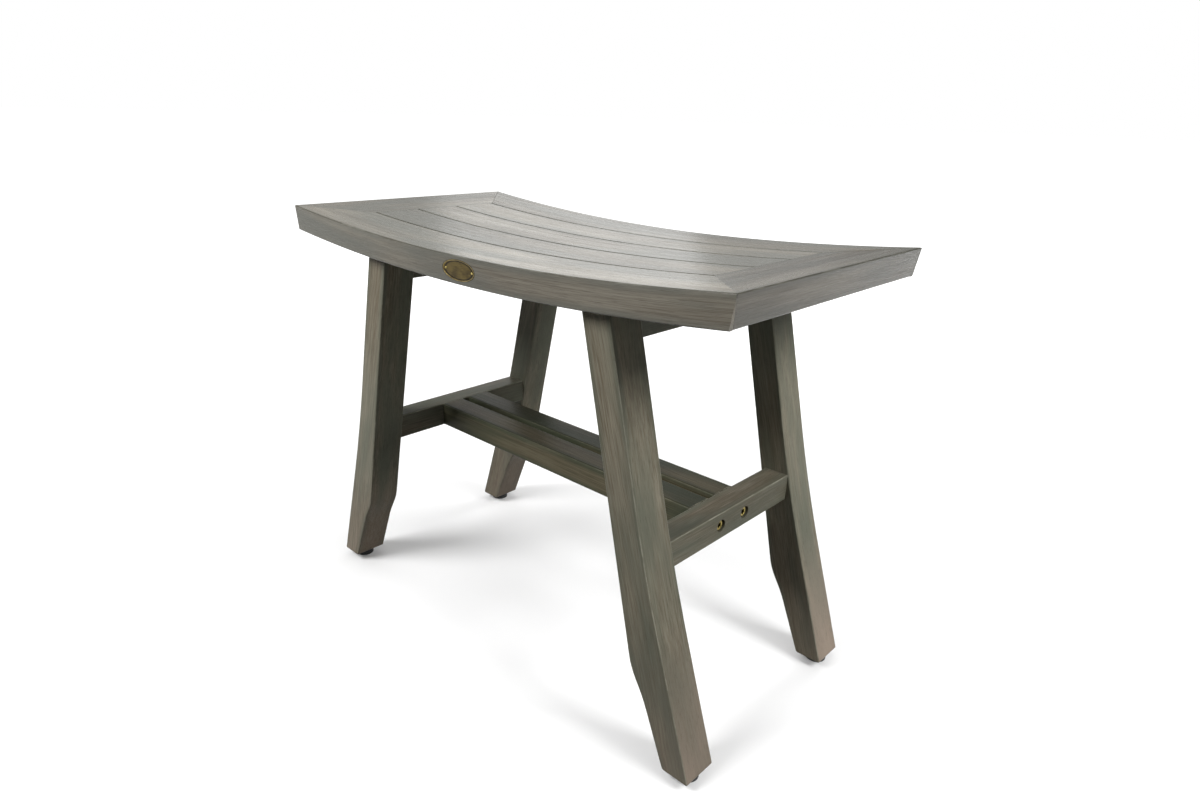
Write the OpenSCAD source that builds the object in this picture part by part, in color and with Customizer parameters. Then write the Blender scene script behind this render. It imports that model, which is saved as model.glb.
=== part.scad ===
// Teak shower bench: a dished, slatted seat on two splayed leg frames, with a two-board shelf.
// X runs along the bench, Y from front to back and Z up. The origin is on the floor under the
// middle of the seat. All sizes are in millimetres.

/* [Seat] */
// Length of the seat along its top edge
seat_l = 608; // [520:1:760]
// Depth of the seat, front to back
seat_w = 303; // [270:1:380]
// Height of the seat's two ends above the floor
seat_h = 457; // [400:1:520]
// Thickness of the seat's boards
seat_t = 27; // [23:0.5:34]
// How far the middle of the seat dips below its ends
seat_dip = 17; // [8:0.5:24]
// Undercut of the two end faces, from the vertical
end_undercut = 10; // [0:1:15]
// Width of the four boards round the edge of the seat
frame_w = 65; // [50:1:80]
// Gap beside each slat
slat_gap = 2.4; // [1:0.1:6]
// Radius of the eased edges along the boards
edge_r = 1.5; // [0.5:0.1:3]

/* [Seat joinery] */
// Length of the tongue on each end of a slat
tongue_l = 12; // [8:0.5:18]
// Thickness of the tongues
tongue_t = 9; // [6:0.5:11]
// Shoulder on each side of a tongue
tongue_shoulder = 6; // [3:0.5:10]
// Length of the loose tenon across each mitre
tenon_l = 40; // [28:1:44]
// Width of the loose tenons
tenon_w = 28; // [20:1:30]
// Thickness of the loose tenons
tenon_t = 8; // [5:0.5:9]

/* [Legs] */
// Thickness of a leg, front to back
leg_t = 38.5; // [32:0.5:46]
// How far the legs stand in from the front and back of the seat
leg_inset = 14; // [6:0.5:24]
// How far the outer edge of a foot stands in from the end of the seat
foot_inset = 16.7; // [5:0.1:30]
// Lean of the outer face above the knee, from the vertical
leg_lean = 13; // [8:0.5:16]
// Lean of the outer face below the knee, from the vertical
foot_lean = 17.7; // [13:0.1:20]
// Height at which the outer face bends
knee_h = 200; // [160:1:260]
// Radius of that bend
knee_r = 1500; // [400:50:2400]
// Width of a leg, level with the seat's end edges
leg_top_w = 31; // [28:0.5:38]
// Height of the swell above the foot
swell_h = 98; // [94:1:125]
// Width of a leg at the swell
swell_w = 43.5; // [40:0.5:48]
// Radius of the swell
swell_r = 60; // [40:5:80]
// Height of the ankle, where the foot starts
ankle_h = 72; // [60:1:76]
// Width of a leg at the ankle
ankle_w = 36; // [33:0.5:37]
// Radius of the hollow at the ankle
ankle_r = 100; // [50:10:140]
// Width of a leg at the bottom
foot_w = 29.5; // [28:0.5:32]
// Radius of the corners at the bottom of a leg
foot_r = 3; // [1:0.5:6]

/* [Leg frames] */
// Height of the rail under the seat, at its middle
top_rail_h = 29; // [24:0.5:36]
// Width of the rail under the seat
top_rail_w = 25; // [20:0.5:27]
// Height of the lower rail, which carries the shelf
stretcher_h = 28.5; // [24:0.5:36]
// Width of the lower rail
stretcher_w = 27.5; // [24:0.5:29]
// Diameter of the dowels between rails and legs
dowel_d = 8; // [6:0.5:10]
// Length of those dowels
dowel_l = 40; // [24:1:42]
// Spacing of the two dowels at each joint
dowel_pitch = 13; // [11:0.5:15]
// Diameter of the dowel at the top of each leg
post_dowel_d = 10; // [8:0.5:12]
// Length of the dowel at the top of each leg
post_dowel_l = 30; // [20:1:36]
// Wood between that dowel and the ends of the dowels from the rail
post_wall = 3; // [2:0.5:5]

/* [Shelf] */
// Height of the shelf's top above the floor
shelf_h = 213; // [180:1:260]
// Thickness of the shelf's boards
shelf_t = 28.5; // [24:0.5:34]
// Width of each board
shelf_board_w = 31; // [28:0.5:44]
// Slot between the boards
shelf_slot = 9; // [5:0.5:20]
// Diameter of the locating dowel at each end of a board
peg_d = 6; // [4:0.5:7]
// Length of those dowels
peg_l = 22; // [14:1:30]
// Distance from the bolt to the locating dowel
peg_offset = 9; // [7.5:0.5:11]

/* [Bolts] */
// Thread diameter of all the bolts
bolt_d = 6; // [5:0.5:7]
// Diameter of a bolt's head
head_d = 10; // [9:0.5:11]
// Height of a bolt's head
head_h = 6; // [4:0.5:7]
// Width across the flats of the hexagon socket
socket_w = 5; // [3:0.5:6]
// Depth of the hexagon socket
socket_depth = 3; // [2:0.5:3.5]
// Diameter of the counterbore round a head
counterbore_d = 13; // [12:0.5:15]
// Depth of the counterbores
counterbore_depth = 8; // [7:0.5:10]
// Length of the shelf bolts under the head
shelf_bolt_l = 60; // [54:1:80]
// Distance of the barrel nuts from the ends of the shelf boards
nut_inset = 30; // [20:1:34]
// Diameter of a barrel nut
nut_d = 10; // [9:0.5:12]
// Length of a barrel nut
nut_l = 14; // [12:0.5:18]
// Length of the seat bolts under the head
seat_bolt_l = 32; // [30:0.5:36]
// Outer diameter of the threaded inserts in the slats
insert_d = 9; // [8:0.5:11]
// Length of those inserts
insert_l = 13; // [9:0.5:16]
// How far the inserts lie below the face of the slat
insert_sink = 0.5; // [0.4:0.1:1.5]

/* [Glides] */
// Diameter of a glide's pad
pad_d = 22; // [18:0.5:26]
// Height of a pad, with the gap above it
pad_h = 8; // [6:0.5:12]
// Diameter of a glide's stud
stud_d = 8; // [6:0.5:8]
// How far the stud reaches into the leg when it is screwed right in
stud_reach = 16; // [12:0.5:18]
// How deep the stud is moulded into the pad
stud_grip = 4; // [3:0.5:5]
// Diameter of the threaded insert in a foot
foot_insert_d = 12; // [11:0.5:13]
// Length of that insert
foot_insert_l = 14; // [10:0.5:15]

/* [Badge] */
// Length of the blank oval plate
badge_l = 48; // [30:1:60]
// Height of the plate
badge_h = 20; // [14:0.5:22]
// Thickness of the plate, which is let in flush
badge_t = 1.6; // [1:0.1:3]
// Width of the plate's raised rim
badge_rim = 1.4; // [0.8:0.1:2.5]
// How far the field lies below the rim
badge_sink = 0.5; // [0.2:0.1:0.8]
// Diameter of the two pins
pin_d = 1.6; // [1:0.1:2.5]
// Length of the pins
pin_l = 9; // [6:0.5:14]
// Distance of a pin from the end of the plate
pin_inset = 4.5; // [3.5:0.5:7]

/* [Clearances] */
// Gap round a glued or pushed-in piece
glue_gap = 0.15; // [0.05:0.01:0.3]
// Gap round the thread of a bolt in its nut or insert
thread_gap = 0.08; // [0.02:0.01:0.1]
// Gap round a bolt where it passes through wood
bolt_gap = 0.4; // [0.2:0.1:0.8]
// Gap between a foot and its pad
pad_gap = 0.3; // [0.2:0.05:0.6]

/* [Hidden] */

// Colours
top_teak = [0.60, 0.58, 0.54];
leg_teak = [0.50, 0.46, 0.41];
shelf_teak = [0.44, 0.44, 0.42];
dowel_wood = [0.76, 0.62, 0.44];
brass = [0.72, 0.57, 0.26];
steel = [0.68, 0.69, 0.70];
black = [0.06, 0.06, 0.06];

// Smoothness of round pieces and of the seat's wide arc
round_fn = 48;
arc_fn = 256;
// Fewest straight steps in a rounded corner, and the widest turn of one step
corner_steps = 4;
corner_turn = 20;
// How far a cutting shape runs past what it cuts
past = 1;

// The seat's arc: its centre is high above the bench, and every board of the seat shares it
half_l = seat_l / 2;
half_w = seat_w / 2;
arc_r = (half_l * half_l + seat_dip * seat_dip) / (2 * seat_dip);
arc_z = seat_h - seat_dip + arc_r;
arc_span = 2 * asin((half_l + seat_t) / arc_r);
slat_w = (seat_w - 2 * frame_w - 4 * slat_gap) / 3;
slat_pitch = slat_w + slat_gap;
slat_half_l = half_l - frame_w;

// Height of the seat's top and underside at a distance x from the middle
function top_z(x) = arc_z - sqrt(arc_r * arc_r - x * x);
function under_z(x) = arc_z - sqrt(pow(arc_r + seat_t, 2) - x * x);

// Undercut end face: how far from the middle it is at a height z
function end_x(z) = half_l - (seat_h - z) * tan(end_undercut);
end_foot_x = end_x(under_z(end_x(seat_h - seat_t)));

// Legs: outer and inner faces at a height z above the swell
foot_x = half_l - foot_inset;
function leg_out(z) =
    foot_x - (min(z, knee_h) - pad_h) * tan(foot_lean) - max(z - knee_h, 0) * tan(leg_lean);
swell_x = leg_out(swell_h) - swell_w;
leg_top_x = leg_out(seat_h) - leg_top_w;
function leg_in(z) =
    swell_x + (leg_top_x - swell_x) * (z - swell_h) / (seat_h - swell_h);
function leg_mid(z) = (leg_out(z) + leg_in(z)) / 2;
leg_y = half_w - leg_inset - leg_t / 2;
frame_y = half_w - leg_inset - leg_t;

// Rails of a leg frame
top_rail_x = leg_mid(seat_h - seat_t - top_rail_h);
top_rail_z = under_z(top_rail_x) - top_rail_h;
stretcher_x = leg_out(shelf_h) - stretcher_w / 2;
stretcher_z = shelf_h - stretcher_h / 2;
post_x = leg_mid(seat_h - seat_t);
post_y = frame_y + (dowel_l + post_dowel_d) / 2 + post_wall;

// Shelf boards and their bolts
shelf_half_l = stretcher_x - stretcher_w / 2;
shelf_y = (shelf_slot + shelf_board_w) / 2;
shelf_bolt_z = shelf_h - min(shelf_t, stretcher_h) / 2;
shelf_head_x = stretcher_x + stretcher_w / 2 - counterbore_depth;
nut_x = shelf_half_l - nut_inset;
seat_head_z = top_rail_z + counterbore_depth;
insert_base = under_z(top_rail_x) + insert_sink;

// Glides
glide_x = foot_x - foot_w / 2;
pad_r = pad_d / 2;
pad_top = pad_h - pad_gap;
stud_base = pad_top - stud_grip;
stud_h = pad_h + stud_reach - stud_base;

// Badge, on the front face of the seat
badge_z = (top_z(0) + under_z(0)) / 2;
pin_x = badge_l / 2 - pin_inset;
oval_steps = 60;

// ---- helpers ----

function unit(v) = v / norm(v);

// Arc that rounds the corner b between a and c with radius r
function rounded_corner(a, b, c, r) =
    let (
        to_a = unit(a - b),
        to_c = unit(c - b),
        half = acos(to_a * to_c) / 2,
        centre = b + unit(to_a + to_c) * r / sin(half),
        start = b + to_a * r / tan(half) - centre,
        turn = (2 * half - 180) * sign(cross(to_a, to_c)),
        steps = max(corner_steps, ceil(abs(turn) / corner_turn))
    )
    [
        for (i = [0 : steps])
            let (angle = atan2(start.y, start.x) + turn * i / steps)
            centre + r * [cos(angle), sin(angle)]
    ];

// Closed outline through corners [x, y, radius]
function eased(corners) =
    let (count = len(corners))
    [
        for (i = [0 : count - 1])
            let (
                here = corners[i],
                a = corners[(i + count - 1) % count],
                c = corners[(i + 1) % count]
            )
            each here.z > 0
                ? rounded_corner([a.x, a.y], [here.x, here.y], [c.x, c.y], here.z)
                : [[here.x, here.y]]
    ];

// Rectangle with eased corners, its lower left corner at the origin
module eased_rectangle(size, r) {
    polygon(eased([[0, 0, r], [size.x, 0, r], [size.x, size.y, r], [0, size.y, r]]));
}

// Upright prism whose outline is drawn in the XZ plane, from y_low to y_high
module along_y(y_low, y_high) {
    translate([0, y_high, 0])
        rotate([90, 0, 0])
            linear_extrude(height = y_high - y_low)
                children();
}

// Board bent to the seat's arc, from y_low to y_high, between two depths below the seat's top
module bent_board(y_low, y_high, depth_low, depth_high, r = 0) {
    translate([0, 0, arc_z])
        rotate([90, 0, 0])
            rotate([0, 0, 270 - arc_span / 2])
                rotate_extrude(angle = arc_span, $fn = arc_fn)
                    translate([arc_r + depth_low, -y_high])
                        eased_rectangle([depth_high - depth_low, y_high - y_low], r);
}

// Everything above the seat's underside, which the legs and rails are cut to
module seat_space() {
    translate([0, half_w + past, arc_z])
        rotate([90, 0, 0])
            cylinder(r = arc_r + seat_t, h = seat_w + 2 * past, $fn = arc_fn);
}

// Space between the two undercut end faces
module between_ends() {
    high = seat_h + seat_t;
    low = seat_h - 2 * (seat_t + seat_dip);
    along_y(-half_w - past, half_w + past)
        polygon([
            [-end_x(low), low], [end_x(low), low],
            [end_x(high), high], [-end_x(high), high]
        ]);
}

// Block between two distances from the middle, over the whole depth and height of the seat
module seat_block(x_low, x_high) {
    translate([x_low, -half_w - past, seat_h - 2 * (seat_t + seat_dip)])
        cube([x_high - x_low, seat_w + 2 * past, 3 * (seat_t + seat_dip)]);
}

module both_ends() {
    children();
    mirror([1, 0, 0]) children();
}

module both_sides() {
    children();
    mirror([0, 1, 0]) children();
}

// One copy for each corner of the bench
module four_corners() {
    both_ends() both_sides() children();
}

// Upright cylinder with a small chamfer at each end, centred on the origin
module plug(d, l) {
    chamfer = d / 10;
    rotate_extrude($fn = round_fn)
        polygon([
            [0, -l / 2], [d / 2 - chamfer, -l / 2], [d / 2, chamfer - l / 2],
            [d / 2, l / 2 - chamfer], [d / 2 - chamfer, l / 2], [0, l / 2]
        ]);
}

// Upright hole from z_low to z_high
module hole(d, z_low, z_high) {
    translate([0, 0, z_low])
        cylinder(d = d, h = z_high - z_low, $fn = round_fn);
}

// Socket-head bolt: the head's seat is at the origin, the thread points up and the socket down
module bolt(l) {
    difference() {
        union() {
            hole(head_d, -head_h, 0);
            hole(bolt_d, 0, l);
        }
        translate([0, 0, -head_h - past])
            cylinder(d = socket_w / cos(30), h = socket_depth + past, $fn = 6);
    }
}

// Turns an upright piece so that what points up points towards the middle of the bench
module inward() {
    rotate([0, -90, 0]) children();
}

// ---- seat ----

// Plan outline of the front rail, mitred at both ends
module front_rail_plan() {
    polygon([
        [-half_l, -half_w], [half_l, -half_w],
        [slat_half_l, frame_w - half_w], [-slat_half_l, frame_w - half_w]
    ]);
}

// Loose tenon across the mitre at the front right corner, grown by gap
module mitre_tenon(gap = 0) {
    straight = tenon_w - tenon_t;
    x = half_l - frame_w / 2;
    translate([x, frame_w / 2 - half_w, (top_z(x) + under_z(x)) / 2])
        rotate([90, 0, -45])
            translate([-straight / 2, 0, -tenon_l / 2 - gap])
                linear_extrude(height = tenon_l + 2 * gap) {
                    translate([0, -tenon_t / 2 - gap])
                        square([straight, tenon_t + 2 * gap]);
                    for (end = [0, straight])
                        translate([end, 0])
                            circle(d = tenon_t + 2 * gap, $fn = round_fn);
                }
}

// Tongues of the slat whose middle is at y, grown by gap
module slat_tongues(y, gap = 0) {
    half = slat_w / 2 - tongue_shoulder + gap;
    depth = (seat_t - tongue_t) / 2 - gap;
    both_ends()
        intersection() {
            bent_board(y - half, y + half, depth, seat_t - depth);
            seat_block(slat_half_l, slat_half_l + tongue_l + gap);
        }
}

module seat_slat(y) {
    difference() {
        union() {
            intersection() {
                bent_board(y - slat_w / 2, y + slat_w / 2, 0, seat_t, edge_r);
                seat_block(-slat_half_l, slat_half_l);
            }
            slat_tongues(y);
        }
        both_ends()
            translate([top_rail_x, y, 0]) {
                hole(insert_d + 2 * glue_gap, top_rail_z, insert_base + insert_l + glue_gap);
                hole(bolt_d + 2 * bolt_gap, top_rail_z, seat_head_z + seat_bolt_l + glue_gap);
            }
    }
}

// Front rail without its badge; the back rail is the same board turned round
module long_rail() {
    difference() {
        intersection() {
            bent_board(-half_w, frame_w - half_w, 0, seat_t, edge_r);
            translate([0, 0, top_rail_z])
                linear_extrude(height = seat_h)
                    front_rail_plan();
            between_ends();
        }
        both_ends() {
            mitre_tenon(glue_gap);
            post_dowel(glue_gap);
        }
    }
}

// Right end rail, cut from a bar with the seat's arc along its top and underside
module end_rail() {
    steps = 6;
    across = [for (i = [1 : steps - 1]) i / steps];
    difference() {
        intersection() {
            along_y(-half_w, half_w)
                polygon(eased(concat(
                    [[slat_half_l, top_z(slat_half_l), 0], [slat_half_l, under_z(slat_half_l), 0]],
                    [
                        for (part = across)
                            let (x = slat_half_l + part * (end_foot_x - slat_half_l))
                            [x, under_z(x), 0]
                    ],
                    [[end_foot_x, under_z(end_foot_x), edge_r], [half_l, seat_h, edge_r]],
                    [
                        for (part = across)
                            let (x = half_l + part * (slat_half_l - half_l))
                            [x, top_z(x), 0]
                    ]
                )));
            translate([0, 0, top_rail_z])
                linear_extrude(height = seat_h)
                    polygon([
                        [half_l, -half_w], [half_l, half_w],
                        [slat_half_l, half_w - frame_w], [slat_half_l, frame_w - half_w]
                    ]);
        }
        both_sides() mitre_tenon(glue_gap);
        for (i = [-1 : 1])
            slat_tongues(i * slat_pitch, glue_gap);
    }
}

// ---- leg frames ----

// Outline of the right-hand legs in the XZ plane
function leg_outline() = [
    [foot_x - foot_w, pad_h, foot_r],
    [foot_x, pad_h, foot_r],
    [leg_out(knee_h), knee_h, knee_r],
    [leg_out(seat_h), seat_h, 0],
    [leg_top_x, seat_h, 0],
    [swell_x, swell_h, swell_r],
    [leg_out(ankle_h) - ankle_w, ankle_h, ankle_r]
];

// Two dowels between the right front leg and the rail behind it, grown by gap
module dowel_pair(x, z, gap) {
    for (side = [-1, 1])
        translate([x, -frame_y, z + side * dowel_pitch / 2])
            rotate([90, 0, 0])
                plug(dowel_d + 2 * gap, dowel_l + 2 * gap);
}
module top_rail_dowels(gap = 0) dowel_pair(top_rail_x, top_rail_z + top_rail_h / 2, gap);
module stretcher_dowels(gap = 0) dowel_pair(stretcher_x, stretcher_z, gap);

// Dowel between the right front leg and the seat
module post_dowel(gap = 0) {
    translate([post_x, -post_y, under_z(post_x)])
        plug(post_dowel_d + 2 * gap, post_dowel_l + 2 * gap);
}

// Right front leg
module leg() {
    difference() {
        along_y(-leg_y - leg_t / 2, -leg_y + leg_t / 2)
            polygon(eased(leg_outline()));
        seat_space();
        top_rail_dowels(glue_gap);
        stretcher_dowels(glue_gap);
        post_dowel(glue_gap);
        translate([glide_x, -leg_y, 0]) {
            hole(foot_insert_d + 2 * glue_gap, 0, pad_h + foot_insert_l + glue_gap);
            hole(stud_d + 2 * thread_gap, 0, pad_h + stud_reach + past);
        }
    }
}

// Rail under the right end of the seat, shaped on top to the seat's arc
module top_rail() {
    difference() {
        translate([top_rail_x - top_rail_w / 2, -frame_y, top_rail_z])
            cube([top_rail_w, 2 * frame_y, seat_h - top_rail_z]);
        seat_space();
        both_sides() top_rail_dowels(glue_gap);
        for (i = [-1 : 1])
            translate([top_rail_x, i * slat_pitch, 0]) {
                hole(counterbore_d, top_rail_z - past, seat_head_z);
                hole(bolt_d + 2 * bolt_gap, top_rail_z - past, seat_h);
            }
    }
}

// Lower rail of the right leg frame
module stretcher() {
    difference() {
        along_y(-frame_y, frame_y)
            translate([stretcher_x - stretcher_w / 2, shelf_h - stretcher_h])
                eased_rectangle([stretcher_w, stretcher_h], edge_r);
        both_sides() {
            stretcher_dowels(glue_gap);
            shelf_bolt_place() {
                hole(counterbore_d, -counterbore_depth - past, 0);
                hole(bolt_d + 2 * bolt_gap, -past, stretcher_w);
            }
            shelf_peg(glue_gap);
        }
    }
}

// ---- shelf ----

// Puts an upright piece on the axis of the right front shelf bolt, pointing inwards
module shelf_bolt_place() {
    translate([shelf_head_x, -shelf_y, shelf_bolt_z])
        inward() children();
}

// Locating dowel between the right stretcher and the front shelf board
module shelf_peg(gap = 0) {
    translate([shelf_half_l, peg_offset - shelf_y, shelf_bolt_z])
        inward() plug(peg_d + 2 * gap, peg_l + 2 * gap);
}

// Front shelf board
module shelf_board() {
    difference() {
        translate([-shelf_half_l, 0, 0])
            rotate([90, 0, 90])
                linear_extrude(height = 2 * shelf_half_l)
                    translate([-shelf_y - shelf_board_w / 2, shelf_h - shelf_t])
                        eased_rectangle([shelf_board_w, shelf_t], edge_r);
        both_ends() {
            shelf_bolt_place()
                hole(bolt_d + 2 * bolt_gap, -past, shelf_bolt_l + past);
            shelf_peg(glue_gap);
            translate([nut_x, -shelf_y, 0])
                hole(nut_d + 2 * glue_gap, shelf_h - shelf_t - past, shelf_bolt_z + nut_l / 2 + glue_gap);
        }
    }
}

module barrel_nut() {
    difference() {
        translate([nut_x, -shelf_y, shelf_bolt_z])
            plug(nut_d, nut_l);
        shelf_bolt_place()
            hole(bolt_d + 2 * thread_gap, 0, shelf_bolt_l + nut_d);
    }
}

// ---- glides ----

// Puts a piece under the right front foot
module glide_place() {
    translate([glide_x, -leg_y, 0]) children();
}

module threaded_insert(outer_d, thread_d, z_low, z_high) {
    difference() {
        hole(outer_d, z_low, z_high);
        hole(thread_d + 2 * thread_gap, z_low - past, z_high + past);
    }
}

module pad() {
    glide_place()
        difference() {
            rotate_extrude($fn = round_fn)
                polygon(eased([
                    [0, 0, 0], [pad_r, 0, edge_r], [pad_r, pad_top, edge_r / 2], [0, pad_top, 0]
                ]));
            hole(stud_d, stud_base, pad_top + past);
        }
}

module stud() {
    glide_place() hole(stud_d, stud_base, stud_base + stud_h);
}

// ---- badge ----

// Oval of the given length and height
module oval(l, h) {
    polygon([
        for (i = [0 : oval_steps - 1])
            let (angle = 360 * i / oval_steps)
            [l / 2 * cos(angle), h / 2 * sin(angle)]
    ]);
}

// Upright oval prism in the seat's front face, between two depths from that face
module badge_oval(l, h, depth_low, depth_high) {
    translate([0, 0, badge_z])
        along_y(depth_low - half_w, depth_high - half_w)
            oval(l, h);
}

module badge_pin(gap = 0) {
    translate([pin_x, badge_sink - half_w, badge_z])
        rotate([-90, 0, 0])
            hole(pin_d + 2 * gap, 0, pin_l + gap);
}

// ---- nodes ----

module seat_front_rail() color(top_teak)
    difference() {
        long_rail();
        badge_oval(badge_l + 2 * glue_gap, badge_h + 2 * glue_gap, -past, badge_t);
        both_ends() badge_pin(glue_gap);
    }
module seat_back_rail() color(top_teak) mirror([0, 1, 0]) long_rail();
module seat_end_rail_left() color(top_teak) mirror([1, 0, 0]) end_rail();
module seat_end_rail_right() color(top_teak) end_rail();
module seat_slat_front() color(top_teak) seat_slat(-slat_pitch);
module seat_slat_middle() color(top_teak) seat_slat(0);
module seat_slat_back() color(top_teak) seat_slat(slat_pitch);
module mitre_tenons() color(dowel_wood) four_corners() mitre_tenon();

module leg_front_left() color(leg_teak) mirror([1, 0, 0]) leg();
module leg_front_right() color(leg_teak) leg();
module leg_back_left() color(leg_teak) mirror([1, 0, 0]) mirror([0, 1, 0]) leg();
module leg_back_right() color(leg_teak) mirror([0, 1, 0]) leg();
module top_rail_left() color(leg_teak) mirror([1, 0, 0]) top_rail();
module top_rail_right() color(leg_teak) top_rail();
module stretcher_left() color(leg_teak) mirror([1, 0, 0]) stretcher();
module stretcher_right() color(leg_teak) stretcher();
module rail_dowels() color(dowel_wood)
    four_corners() {
        top_rail_dowels();
        stretcher_dowels();
    }
module seat_dowels() color(dowel_wood) four_corners() post_dowel();

module shelf_board_front() color(shelf_teak) shelf_board();
module shelf_board_back() color(shelf_teak) mirror([0, 1, 0]) shelf_board();
module shelf_dowels() color(dowel_wood) four_corners() shelf_peg();
module shelf_bolts() color(brass) four_corners() shelf_bolt_place() bolt(shelf_bolt_l);
module barrel_nuts() color(brass) four_corners() barrel_nut();

module seat_bolts() color(brass)
    both_ends()
        for (i = [-1 : 1])
            translate([top_rail_x, i * slat_pitch, seat_head_z])
                bolt(seat_bolt_l);
module seat_inserts() color(brass)
    both_ends()
        for (i = [-1 : 1])
            translate([top_rail_x, i * slat_pitch, 0])
                threaded_insert(insert_d, bolt_d, insert_base, insert_base + insert_l);

module foot_inserts() color(brass)
    four_corners()
        glide_place()
            threaded_insert(foot_insert_d, stud_d, pad_h, pad_h + foot_insert_l);
module glide_pad_front_left() color(black) mirror([1, 0, 0]) pad();
module glide_pad_front_right() color(black) pad();
module glide_pad_back_left() color(black) mirror([1, 0, 0]) mirror([0, 1, 0]) pad();
module glide_pad_back_right() color(black) mirror([0, 1, 0]) pad();
module glide_stud_front_left() color(steel) mirror([1, 0, 0]) stud();
module glide_stud_front_right() color(steel) stud();
module glide_stud_back_left() color(steel) mirror([1, 0, 0]) mirror([0, 1, 0]) stud();
module glide_stud_back_right() color(steel) mirror([0, 1, 0]) stud();

module badge_plate() color(brass)
    difference() {
        badge_oval(badge_l, badge_h, 0, badge_t);
        badge_oval(badge_l - 2 * badge_rim, badge_h - 2 * badge_rim, -past, badge_sink);
        both_ends() badge_pin(thread_gap);
    }
module badge_pins() color(brass) both_ends() badge_pin();

seat_front_rail();
seat_back_rail();
seat_end_rail_left();
seat_end_rail_right();
seat_slat_front();
seat_slat_middle();
seat_slat_back();
mitre_tenons();
leg_front_left();
leg_front_right();
leg_back_left();
leg_back_right();
top_rail_left();
top_rail_right();
stretcher_left();
stretcher_right();
rail_dowels();
seat_dowels();
shelf_board_front();
shelf_board_back();
shelf_dowels();
shelf_bolts();
barrel_nuts();
seat_bolts();
seat_inserts();
foot_inserts();
glide_pad_front_left();
glide_pad_front_right();
glide_pad_back_left();
glide_pad_back_right();
glide_stud_front_left();
glide_stud_front_right();
glide_stud_back_left();
glide_stud_back_right();
badge_plate();
badge_pins();
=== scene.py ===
# %% [markdown]
# # A grey-washed teak shower bench
# This lesson dresses a small teak bench: a dished seat of seven boards, four swelled legs that
# splay outwards, two leg frames, a shelf of two boards, brass bolts, a blank oval badge and four
# black levelling glides. The solid model of the bench comes in first, as a frame that never
# moves. Every piece below takes its size and place from that frame, so nothing has to be fitted
# afterwards, and lengths are in metres throughout.

# %% Load the frame
import math

import bmesh
import bpy
import numpy as np
from mathutils import Matrix, Vector


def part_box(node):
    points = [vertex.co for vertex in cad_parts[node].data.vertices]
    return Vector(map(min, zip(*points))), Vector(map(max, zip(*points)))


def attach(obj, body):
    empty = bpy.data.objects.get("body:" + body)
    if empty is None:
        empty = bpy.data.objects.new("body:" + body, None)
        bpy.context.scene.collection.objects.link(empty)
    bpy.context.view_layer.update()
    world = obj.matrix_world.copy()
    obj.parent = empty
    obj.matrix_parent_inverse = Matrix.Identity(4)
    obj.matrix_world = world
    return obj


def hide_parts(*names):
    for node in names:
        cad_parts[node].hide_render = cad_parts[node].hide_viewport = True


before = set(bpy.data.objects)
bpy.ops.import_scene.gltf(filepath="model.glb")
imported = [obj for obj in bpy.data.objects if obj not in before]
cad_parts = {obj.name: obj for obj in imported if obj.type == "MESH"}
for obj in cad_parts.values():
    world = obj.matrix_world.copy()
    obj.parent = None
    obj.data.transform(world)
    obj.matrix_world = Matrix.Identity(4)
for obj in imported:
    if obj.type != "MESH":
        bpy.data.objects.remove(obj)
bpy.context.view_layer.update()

MM = 0.001
WELD = 0.001 * MM
X, Y, Z = range(3)


def made(*helpers):
    """Says which helpers a cell has made."""
    print("helpers:", ", ".join(helper.__name__ for helper in helpers))


def put(name, data):
    """A new object in the scene, with this mesh, camera or lamp."""
    piece = bpy.data.objects.new(name, data)
    bpy.context.scene.collection.objects.link(piece)
    return piece


# %% [markdown]
# ## The camera
# The bench was photographed from its front right, a little above the seat, with a fairly wide
# lens. The camera is turned by three angles, because they say what a photographer would say:
# how far round the bench, how far above it, and how far the camera leans to one side.

# %% Place the camera
CAMERA_PLACE = Vector((0.59065, -0.59475, 0.56904))
CAMERA_ROUND = math.radians(42.66)
CAMERA_ABOVE = math.radians(20.12)
CAMERA_LEAN = math.radians(1.6)
CAMERA_LENS = 23.81


def camera_turn(around, above, lean):
    """The camera's three axes as a matrix, from the angles round, above and leaning."""
    back = Vector((
        math.sin(around) * math.cos(above),
        -math.cos(around) * math.cos(above),
        math.sin(above),
    ))
    level_right = (-back).cross(Vector((0, 0, 1))).normalized()
    level_up = level_right.cross(-back)
    right = level_right * math.cos(lean) + level_up * math.sin(lean)
    up = level_up * math.cos(lean) - level_right * math.sin(lean)
    return Matrix((right, up, back)).transposed()


camera = put("camera", bpy.data.cameras.new("camera"))
camera.data.sensor_fit = "HORIZONTAL"
camera.data.lens = CAMERA_LENS
camera.data.clip_start = 10 * MM
camera.matrix_world = (
    Matrix.Translation(CAMERA_PLACE)
    @ camera_turn(CAMERA_ROUND, CAMERA_ABOVE, CAMERA_LEAN).to_4x4()
)
bpy.context.scene.camera = camera
bpy.context.scene.view_settings.view_transform = "Standard"
print("camera lens", round(camera.data.lens, 2), "mm")

# %% [markdown]
# ## A bench for the nodes
# Both the finishes and the geometry trees are made of nodes that are wired together. Writing
# that out by hand takes three lines for each node. The small class below does it in one: it
# makes a node, sets what it is told, and wires or fills its inputs. Sums on numbers have words
# of their own, so that a long formula stays easy to read.

# %% A builder of node trees


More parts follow.
